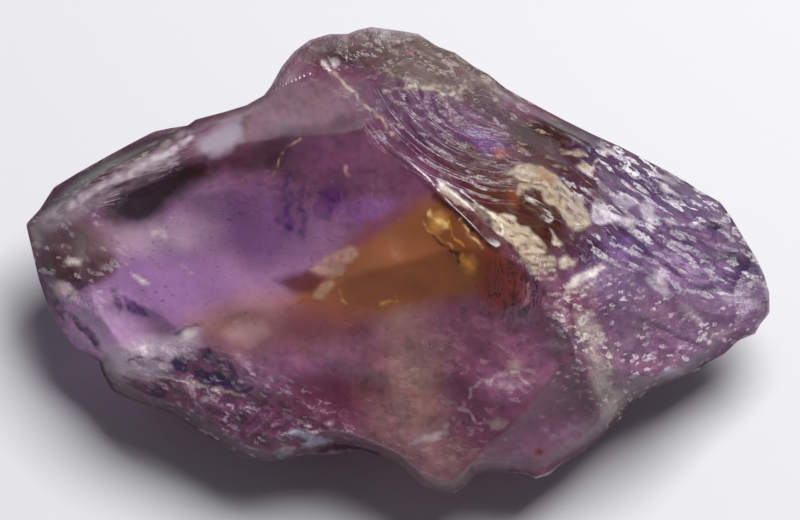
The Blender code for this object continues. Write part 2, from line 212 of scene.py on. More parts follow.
# Finer ones, which the solid leaves out
FINE_RING_SETS = [
    Rings("lobe_fine_hackle", (860, -140), Zone(672, 262, 128, 96, -28), 0.85, 0.17),
    Rings("face_fine_hackle", (560, 30), Zone(462, 138, 96, 50, -34), 0.62, 0.13),
    Rings("spine_foot_hackle", (700, 300), Zone(588, 366, 72, 26, -68), 0.70, 0.16),
    Rings("foot_fine_hackle", (600, 640), Zone(240, 400, 120, 44, -22), 0.95, 0.12),
    Rings("window_ripples", (70, 90), Zone(270, 240, 170, 70, 15), 1.6, 0.035),
    Rings("foot_ripples", (640, 560), Zone(470, 370, 120, 80, 20), 1.5, 0.05),
]
RISER_SHARE = 0.28  # share of the tread taken by the riser
RING_WOBBLES = ((1.2, 6.0, 11.0), (0.45, 2.4, 13.0))  # shift in mm, size in mm and seed
RING_PATCH_SIZE = 5.0  # mm, the patches in which the steps are high or low
CREST_GAP_SIZE = 2.2  # mm, the stretches in which a crest is high or low

# Unevenness: height or shift in mm, and the size of its features in mm
LUMP_MM, LUMP_SIZE = 0.34, 7.0
GRIT_MM, GRIT_SIZE = 0.20, 2.5
SUGAR_MM, SUGAR_SIZE = 0.10, 0.75  # only where the break is sugary
PLAIN_SUGAR = 0.12  # share of the sugar's height that smooth breaks keep
WARP_MM, WARP_SIZE = 0.85, 4.5
CREASE_MM = 0.06  # how far the crease between two breaks is rounded
CALM_SHARE = 0.15  # share of the way in from the rim over which the warp sets in
CLOSING_SHARE = 0.05  # the same for the height of the whole surface
THINNEST_MM = 0.25
PROBE_MM = 0.5  # span over which the ground's slope is read at a scar
UPPER_SEED, UNDER_SEED = 1.0, 20.0

# The slice of the noise that each other unevenness takes, so that no two are alike
SEEDS = {
    "rim": 3.0,
    "ring patches": 17.0,
    "crests": 31.0,
    "coarse sugar": 61.0,
    "fine sugar": 67.0,
    "stray": 71.0,
    "combed fibres": 79.0,
    "even fibres": 83.0,
    "broad hue": 87.0,
    "fine hue": 91.0,
    "gaps": 97.0,
    "clumps": 99.0,
    "broad cloud": 101.0,
    "fine cloud": 103.0,
}

# Where the break is sugary: full in the ellipse, none elsewhere
SUGARY_ZONES = [
    Zone(672, 262, 128, 96, -28),
    Zone(588, 366, 78, 30, -68),
    Zone(470, 130, 110, 50, -32),
    Zone(230, 400, 140, 46, -22),
    Zone(60, 300, 60, 40, -60),
]


def to_mm(x_px, y_px):
    """A place in the picture as millimetres right of and above its centre."""
    return (x_px - CENTRE_PX[0]) * MM_PER_PX, (CENTRE_PX[1] - y_px) * MM_PER_PX


RIM_MM = np.array([to_mm(x, y) for x, y in RIM_PX])


def waves(points, size_mm, seed):
    """Smooth noise from -1 to 1 with features about size_mm across."""
    return np.array([noise.noise(Vector((u / size_mm, v / size_mm, seed))) for u, v in points])


def rim_reach(angles):
    """Distance from the centre to the rim along each angle."""
    rim_angles = np.arctan2(RIM_MM[:, 1], RIM_MM[:, 0])
    order = np.argsort(rim_angles)
    corners = RIM_MM[order]
    after = np.searchsorted(rim_angles[order], angles) % len(corners)
    start, end = corners[after - 1], corners[after]
    side = end - start
    direction = np.stack([np.cos(angles), np.sin(angles)], axis=1)
    return (start[:, 0] * end[:, 1] - start[:, 1] * end[:, 0]) / (
        direction[:, 0] * side[:, 1] - direction[:, 1] * side[:, 0]
    )


def share_of_reach(points):
    """0 at the centre of the picture plane and 1 on the rim."""
    angles = np.arctan2(points[:, 1], points[:, 0])
    return np.hypot(points[:, 0], points[:, 1]) / rim_reach(angles)


def rim_surface(points):
    """The gently warped surface that the rim lies in: its near edge leans up towards the viewer."""
    u, v = points[:, 0], points[:, 1]
    waver = waves(points, RIM_WAVER_SIZE, SEEDS["rim"])
    return RIM_HEIGHT_MM + RIM_LEAN * v - RIM_SAG * u**2 + RIM_WAVER_MM * waver


def dome(points, rise, bluntness):
    """A blunt dome over the rim."""
    inside = np.clip(1.0 - share_of_reach(points) ** 2, 0.0, 1.0)
    return rise * inside**bluntness


def break_plane(points, plane):
    """The height of a flat break at each point."""
    u, v = to_mm(plane.x, plane.y)
    way = math.radians(plane.falls_to)
    along = (points[:, 0] - u) * math.cos(way) + (points[:, 1] - v) * math.sin(way)
    return plane.height - plane.fall * along


def lower_of(first, second):
    """The lower of two surfaces, with the crease between them slightly rounded."""
    gap = np.clip(0.5 + (second - first) / (4 * CREASE_MM), 0.0, 1.0)
    return second + (first - second) * gap - 2 * CREASE_MM * gap * (1.0 - gap)


def faceted_dome(points, rise, bluntness, breaks):
    """The dome cut down by every break plane."""
    surface = dome(points, rise, bluntness)
    for plane in breaks:
        surface = lower_of(surface, break_plane(points, plane))
    return surface


def zone_axes(points, zone):
    """Places along and across a turned ellipse, in shares of its half sizes."""
    away = points - np.array(to_mm(zone.x, zone.y))
    turn = math.radians(zone.turn)
    along = away[:, 0] * math.cos(turn) + away[:, 1] * math.sin(turn)
    across = away[:, 1] * math.cos(turn) - away[:, 0] * math.sin(turn)
    return along / (zone.half_length * MM_PER_PX), across / (zone.half_width * MM_PER_PX)


def zone_share(points, zone):
    """1 inside the ellipse, falling to 0 at its border."""
    along, across = zone_axes(points, zone)
    return np.clip(2.0 * (1.0 - along**2 - across**2), 0.0, 1.0)


def scar_surface(points, ground, zone, depth):
    """A shell-shaped hollow sunk under the ground's own tangent plane at the scar's centre."""
    centre = np.array(to_mm(zone.x, zone.y))
    probes = centre + PROBE_MM * np.array([(0, 0), (1, 0), (-1, 0), (0, 1), (0, -1)])
    level, east, west, north, south = ground(probes)
    slope = np.array([east - west, north - south]) / (2 * PROBE_MM)
    along, across = zone_axes(points, zone)
    return level + (points - centre) @ slope + depth * (along**2 + across**2 - 1.0)


def distance_to_line(points, corners_px):
    """How far in mm each point lies from a line of corners in the picture."""
    corners = np.array([to_mm(x, y) for x, y in corners_px])
    nearest = np.full(len(points), np.inf)
    for start, end in zip(corners[:-1], corners[1:]):
        side = end - start
        share = np.clip((points - start) @ side / (side @ side), 0.0, 1.0)
        foot = start + share[:, None] * side
        nearest = np.minimum(nearest, np.linalg.norm(points - foot, axis=1))
    return nearest


def crests(points):
    """Narrow raised lines, broken up along their length."""
    total = np.zeros(len(points))
    broken = 0.75 + 0.5 * waves(points, CREST_GAP_SIZE, SEEDS["crests"])
    for crest in UPPER_CRESTS:
        share = distance_to_line(points, crest.corners) / (crest.half_width * MM_PER_PX)
        total = np.maximum(total, crest.height * np.exp(-(share**2)) * broken)
    return total


def ledges(points, ring_sets):
    """Stepped rings, each set fading out towards the border of its zone."""
    wobble = sum(shift * waves(points, size, seed) for shift, size, seed in RING_WOBBLES)
    strength = np.clip(0.65 + 1.2 * waves(points, RING_PATCH_SIZE, SEEDS["ring patches"]), 0.1, 1.2)
    total = np.zeros(len(points))
    for rings in ring_sets:
        travel = np.linalg.norm(points - np.array(to_mm(*rings.far_point)), axis=1) + wobble
        phase = np.mod(travel / rings.tread, 1.0)
        step = np.where(phase < 1.0 - RISER_SHARE, phase / (1.0 - RISER_SHARE), (1.0 - phase) / RISER_SHARE)
        total += rings.rise * strength * zone_share(points, rings.zone) * (step - 0.5)
    return total


def sugariness(points):
    """1 where the break is sugary and 0 where it is smooth."""
    where = np.zeros(len(points))
    for zone in SUGARY_ZONES:
        where = np.maximum(where, zone_share(points, zone))
    return where


def sugar(points):
    """Fine grain of the sugary breaks, sharp-topped."""
    coarse = np.abs(waves(points, 2 * SUGAR_SIZE, SEEDS["coarse sugar"]))
    fine = np.abs(waves(points, SUGAR_SIZE, SEEDS["fine sugar"]))
    share = PLAIN_SUGAR + (1.0 - PLAIN_SUGAR) * sugariness(points)
    return SUGAR_MM * (1.0 - 2.2 * coarse + 0.5 - fine) * share


def wandered(points, seed):
    """The points shifted by smooth noise, so that edges drawn through them wander, but not at the rim."""
    shift = np.stack([waves(points, WARP_SIZE, seed), waves(points, WARP_SIZE, seed + 2.0)], axis=1)
    calm = np.clip((1.0 - share_of_reach(points)) / CALM_SHARE, 0.0, 1.0)
    return points + WARP_MM * shift * calm[:, None]


def relief(points, rise, bluntness, breaks, scars, seed):
    """Height of one fracture surface over the rim surface, closing to nothing at the rim."""

    def ground(places):
        return faceted_dome(places, rise, bluntness, breaks)

    bent = wandered(points, seed + 40.0)
    surface = ground(bent)
    for scar in scars:
        surface = lower_of(surface, scar_surface(bent, ground, scar.zone, scar.depth))
    surface = surface + LUMP_MM * waves(points, LUMP_SIZE, seed)
    surface = surface + GRIT_MM * waves(points, GRIT_SIZE, seed + 5.0)
    closing = np.clip((1.0 - share_of_reach(points)) / CLOSING_SHARE, 0.0, 1.0)
    return np.maximum(surface, THINNEST_MM) * closing


def disc_of_square(squares):
    """Maps the square -1..1 onto the unit disc, ring by ring, so that its border becomes the circle."""
    a, b = squares[:, 0], squares[:, 1]
    wide = np.abs(a) > np.abs(b)
    reach = np.where(wide, a, b)
    safe = np.where(reach == 0, 1.0, reach)
    turn = np.where(wide, math.pi / 4 * b / safe, math.pi / 2 - math.pi / 4 * a / safe)
    return np.stack([reach * np.cos(turn), reach * np.sin(turn)], axis=1)


def upright(points, towards):
    """Picture-plane places and heights towards the viewer, turned into the upright frame."""
    sine, cosine = math.sin(VIEW_ELEVATION), math.cos(VIEW_ELEVATION)
    x = points[:, 0]
    y = points[:, 1] * sine - towards * cosine
    z = points[:, 1] * cosine + towards * sine + REST_DROP_MM
    return np.stack([x, y, z], axis=1)


def surface_mesh(side, cells):
    """One of the two fracture surfaces, as a bmesh in millimetres. side is 'upper' or 'under'."""
    sheet = bmesh.new()
    bmesh.ops.create_grid(sheet, x_segments=cells[0], y_segments=cells[1], size=1.0)
    disc = disc_of_square(np.array([vertex.co.xy for vertex in sheet.verts]))
    angles = np.arctan2(disc[:, 1], disc[:, 0])
    points = disc * rim_reach(angles)[:, None]
    middle = rim_surface(points)
    if side == "upper":
        heights = relief(points, CROWN_MM, CROWN_BLUNTNESS, UPPER_BREAKS, UPPER_SCARS, UPPER_SEED)
        added = ledges(points, RING_SETS + FINE_RING_SETS) + crests(points) + sugar(points)
        towards = middle + np.maximum(heights + added * np.clip(heights, 0.0, 1.0), 0.0)
    else:
        towards = middle - relief(points, KEEL_MM, KEEL_BLUNTNESS, UNDER_BREAKS, UNDER_SCARS, UNDER_SEED)
    for vertex, place in zip(sheet.verts, upright(points, towards)):
        vertex.co = place
    if side == "under":
        bmesh.ops.reverse_faces(sheet, faces=sheet.faces)
    return sheet


def stone_mesh(cells):
    """Both surfaces joined at the rim, with the resting face cut flat."""
    stone = bmesh.new()
    for side in ("upper", "under"):
        sheet = surface_mesh(side, cells)
        piece = bpy.data.meshes.new(side)
        sheet.to_mesh(piece)
        sheet.free()
        stone.from_mesh(piece)
        bpy.data.meshes.remove(piece)
    bmesh.ops.remove_doubles(stone, verts=stone.verts, dist=RIM_MERGE_MM)
    everything = stone.verts[:] + stone.edges[:] + stone.faces[:]
    cut = bmesh.ops.bisect_plane(
        stone, geom=everything, dist=RIM_MERGE_MM, plane_co=(0, 0, 0), plane_no=(0, 0, -1), clear_outer=True
    )
    border = [edge for edge in cut["geom_cut"] if isinstance(edge, bmesh.types.BMEdge)]
    bmesh.ops.holes_fill(stone, edges=border, sides=0)
    bmesh.ops.triangulate(stone, faces=stone.faces)
    return stone


def picture_places(mesh):
    """Every vertex in the picture plane, and its height towards the viewer."""
    places = vertex_places(mesh)
    sine, cosine = math.sin(VIEW_ELEVATION), math.cos(VIEW_ELEVATION)
    height = places[:, 2] - REST_DROP_MM
    points = np.stack([places[:, 0], places[:, 1] * sine + height * cosine], axis=1)
    return points, height * sine - places[:, 1] * cosine


def upper_share(points, towards):
    """1 on the upper surface and 0 on the under one, with a narrow blend at the rim."""
    return np.clip((towards - rim_surface(points)) / RIM_BLEND_MM, 0.0, 1.0)


def thinned(stone):
    """The stone's mesh with triangles merged on the plainer underside first."""
    dense = bpy.data.meshes.new("dense")
    stone.to_mesh(dense)
    stone.free()
    source = bpy.data.objects.new("dense", dense)
    bpy.context.scene.collection.objects.link(source)
    underside = source.vertex_groups.new(name="underside")
    under = np.flatnonzero(upper_share(*picture_places(dense)) < 0.5)
    underside.add([int(index) for index in under], 1.0, "REPLACE")
    thinner = source.modifiers.new("thinner", "DECIMATE")
    thinner.ratio = min(1.0, TRIANGLES_KEPT / len(dense.polygons))
    thinner.vertex_group = underside.name
    thinner.vertex_group_factor = UNDERSIDE_FIRST
    graph = bpy.context.evaluated_depsgraph_get()
    mesh = bpy.data.meshes.new_from_object(source.evaluated_get(graph))
    bpy.data.objects.remove(source)
    return mesh


def vertex_places(mesh):
    """The place of every vertex, one row each."""
    places = np.zeros(len(mesh.vertices) * 3, np.float32)
    mesh.vertices.foreach_get("co", places)
    return places.reshape(-1, 3).astype(float)


def store(mesh, name, kind, field, values):
    """Stores one value for each vertex, which the material reads by name."""
    attribute = mesh.attributes.new(name, kind, "POINT")
    attribute.data.foreach_set(field, values.astype(np.float32).ravel())


def convexity(mesh, places):
    """How far each point stands over the mean of its neighbours, in shares of the distance to them."""
    ends = np.zeros(len(mesh.edges) * 2, np.int32)
    mesh.edges.foreach_get("vertices", ends)
    a, b = ends.reshape(-1, 2).T
    normals = np.zeros(len(mesh.vertices) * 3, np.float32)
    mesh.vertices.foreach_get("normal", normals)
    total = np.zeros_like(places)
    count = np.zeros(len(places))
    reach = np.zeros(len(places))
    length = np.linalg.norm(places[a] - places[b], axis=1)
    for near, far in ((a, b), (b, a)):
        np.add.at(total, near, places[far])
        np.add.at(count, near, 1.0)
        np.add.at(reach, near, length)
    mean = total / count[:, None]
    return np.sum((places - mean) * normals.reshape(-1, 3), axis=1) / (reach / count)


def mark_mesh(mesh):
    """Stores what the finish reads: each point's picture place, how it bends and what is painted there."""
    points, towards = picture_places(mesh)
    store(mesh, "edge", "FLOAT", "value", convexity(mesh, vertex_places(mesh)))
    store(mesh, "picture", "FLOAT_VECTOR", "vector", np.column_stack([points, towards]))
    paint_mesh(mesh, points, towards, upper_share(points, towards))


def set_on_solid(mesh):
    """Moves the stone over the solid's box, and scales it to metres."""
    places = vertex_places(mesh) * METRES_PER_MM
    low, high = places.min(axis=0), places.max(axis=0)
    solid_low, solid_high = np.array(CAD_BOX[0]), np.array(CAD_BOX[1])
    middle = (low + high) / 2
    solid_middle = (solid_low + solid_high) / 2
    shift = np.array([middle[0] - solid_middle[0], middle[1] - solid_middle[1], low[2] - solid_low[2]])
    mesh.vertices.foreach_set("co", (places - shift).astype(np.float32).ravel())
    mesh.update()


def add(tree, kind, inputs=None, **settings):
    """Adds a node with its settings; each input is a value, or an output that is linked to it."""
    made = tree.nodes.new(kind)
    for name, value in settings.items():
        setattr(made, name, value)
    for key, value in (inputs or {}).items():
        if isinstance(value, bpy.types.NodeSocket):
            tree.links.new(value, made.inputs[key])
        else:
            made.inputs[key].default_value = value
    return made


# Colours are given as they look in the picture. The stone's own colour is lighter, because only part of the
# light that falls on it is thrown straight back, and a little whiter light is mirrored on top.
LIFT_GAIN = 1.21
LIFT_SHEEN = 0.028
LIFT_RANGE = (0.004, 0.92)  # darkest and brightest that a channel may be
BODY_COLOUR = "#744c60"  # where no tint lies

# Soft areas of colour: their ellipse, colour, strength, softness of the border as a share of the ellipse,
# and whether they run through the stone or lie on the upper surface
Tint = namedtuple("Tint", "name zone colour strength softness through")
TINTS = [
    # The violet of the quartz; the brighter violet of the window is partly a painted glow of light passing
    # through the stone
    Tint("left_violet", Zone(190, 270, 150, 85, 6), "#9c779d", 0.95, 0.45, True),
    Tint("left_lilac", Zone(140, 240, 60, 18, 8), "#c8acc3", 0.75, 0.75, True),
    Tint("bright_violet", Zone(168, 292, 60, 30, -4), "#a27bad", 0.75, 0.60, True),
    Tint("low_left_lilac", Zone(104, 322, 36, 28, -40), "#c8a5cb", 0.75, 0.50, True),
    Tint("middle_violet", Zone(262, 226, 50, 38, 6), "#67466e", 0.75, 0.50, True),
    Tint("upper_lilac", Zone(305, 104, 74, 26, 10), "#846a77", 0.85, 0.45, True),
    Tint("upper_shade", Zone(290, 150, 74, 18, 12), "#3e3335", 0.75, 0.50, False),
    Tint("deep_purple", Zone(352, 178, 62, 34, -24), "#77516a", 0.85, 0.50, True),
    Tint("violet_core", Zone(364, 214, 36, 16, 0), "#885b91", 0.75, 0.50, True),
    Tint("knob_top", Zone(322, 50, 44, 15, 4), "#544b41", 0.80, 0.40, False),
    Tint("knob_shade", Zone(344, 52, 26, 11, -20), "#323232", 0.75, 0.40, False),
    Tint("hackle_face", Zone(442, 126, 86, 34, -28), "#67465d", 0.90, 0.40, True),
    Tint("hackle_shade", Zone(452, 160, 56, 14, -28), "#4e3244", 0.70, 0.50, False),
    Tint("violet_patch", Zone(492, 147, 31, 12, -16), "#6f4984", 0.95, 0.35, False),
    Tint("orange_spot", Zone(514, 161, 13, 6, -10), "#b75348", 0.90, 0.50, False),
    # Partly the shoulder's own grey, partly a painted reflection of the bright sky behind
    Tint("grey_shoulder", Zone(426, 60, 84, 26, -20), "#6e5d5a", 0.95, 0.30, True),
    Tint("shoulder_violet", Zone(502, 108, 58, 14, -28), "#4e3841", 0.80, 0.50, False),
    Tint("dark_shoulder", Zone(562, 143, 50, 16, -25), "#403030", 0.95, 0.35, False),
    Tint("lobe", Zone(674, 256, 120, 92, -26), "#7b5f83", 0.95, 0.25, True),
    Tint("lobe_top_shade", Zone(640, 176, 62, 18, -28), "#443850", 0.60, 0.50, False),
    Tint("lobe_blue", Zone(614, 243, 30, 17, -10), "#7a618d", 0.90, 0.40, False),
    Tint("hook_shade", Zone(577, 247, 22, 14, 0), "#533654", 0.90, 0.40, False),
    Tint("fracture_brown", Zone(506, 196, 72, 28, -32), "#503232", 0.90, 0.45, False),
    Tint("hook_brown", Zone(560, 178, 56, 32, -34), "#4f3532", 0.85, 0.55, False),
    Tint("gash_shadow", Zone(536, 228, 32, 17, -48), "#4e3232", 0.85, 0.50, False),
    Tint("lobe_lilac", Zone(690, 272, 42, 20, -10), "#ab85b7", 0.80, 0.50, True),
    Tint("lobe_tip_shade", Zone(748, 272, 18, 22, 10), "#42324c", 0.80, 0.50, True),
    Tint("lobe_low", Zone(662, 338, 72, 36, 18), "#8e6d87", 0.80, 0.50, True),
    Tint("lower_right", Zone(520, 345, 66, 54, 0), "#966880", 0.90, 0.70, True),
    Tint("lower_deep", Zone(455, 362, 40, 62, -8), "#7e5164", 0.75, 0.85, True),
    Tint("corner_shade", Zone(562, 436, 48, 20, 26), "#9c7890", 0.85, 0.50, True),
    Tint("bottom_lilac", Zone(505, 450, 44, 18, 4), "#935978", 0.70, 0.50, True),
    Tint("pink_low", Zone(325, 392, 68, 48, -8), "#74465b", 0.90, 0.70, True),
    Tint("pale_band", Zone(403, 376, 34, 92, 3), "#ac8781", 0.75, 0.85, True),
    Tint("bottom_tip", Zone(438, 460, 42, 26, 0), "#8f6c70", 0.80, 0.50, True),
    Tint("low_purple", Zone(268, 366, 46, 30, 0), "#9a708d", 0.75, 0.50, True),
    Tint("middle_low", Zone(338, 352, 44, 22, 0), "#a8788e", 0.55, 0.70, True),
    Tint("foot_shade", Zone(238, 414, 78, 26, -22), "#754b67", 0.75, 0.50, True),
    Tint("red_blot_one", Zone(312, 386, 17, 14, 0), "#6b353e", 0.30, 0.90, True),
    Tint("red_blot_two", Zone(347, 392, 17, 16, 0), "#74383f", 0.30, 0.90, True),
    Tint("red_blot_three", Zone(379, 386, 14, 12, 0), "#81373b", 0.28, 0.90, True),
    Tint("tip_brown", Zone(75, 248, 42, 26, 10), "#715b55", 0.80, 0.80, False),
    Tint("tip_shade", Zone(62, 268, 28, 11, -18), "#463232", 0.90, 0.40, False),
    Tint("tip_shade_two", Zone(101, 264, 18, 12, -20), "#593f40", 0.85, 0.50, False),
    # Painted highlight on the left tip
    Tint("tip_pale", Zone(36, 237, 13, 13, 0), "#e3d5d2", 0.85, 0.50, False),
    Tint("tip_pale_two", Zone(68, 289, 18, 8, -28), "#dec6c7", 0.85, 0.40, False),
    Tint("tip_low", Zone(78, 328, 22, 38, 40), "#df9fe0", 0.75, 0.40, True),
    Tint("indigo_spot", Zone(329, 200, 8, 15, -20), "#5f386a", 0.7, 0.6, False),
    Tint("teal_glow", Zone(125, 205, 7, 4, 20), "#7a98a8", 0.85, 0.50, False),
    Tint("blue_glow", Zone(135, 211, 9, 6, 20), "#304c78", 0.85, 0.50, False),
    Tint("olive_glow", Zone(115, 213, 4, 7, 0), "#7a7858", 0.75, 0.50, False),
]

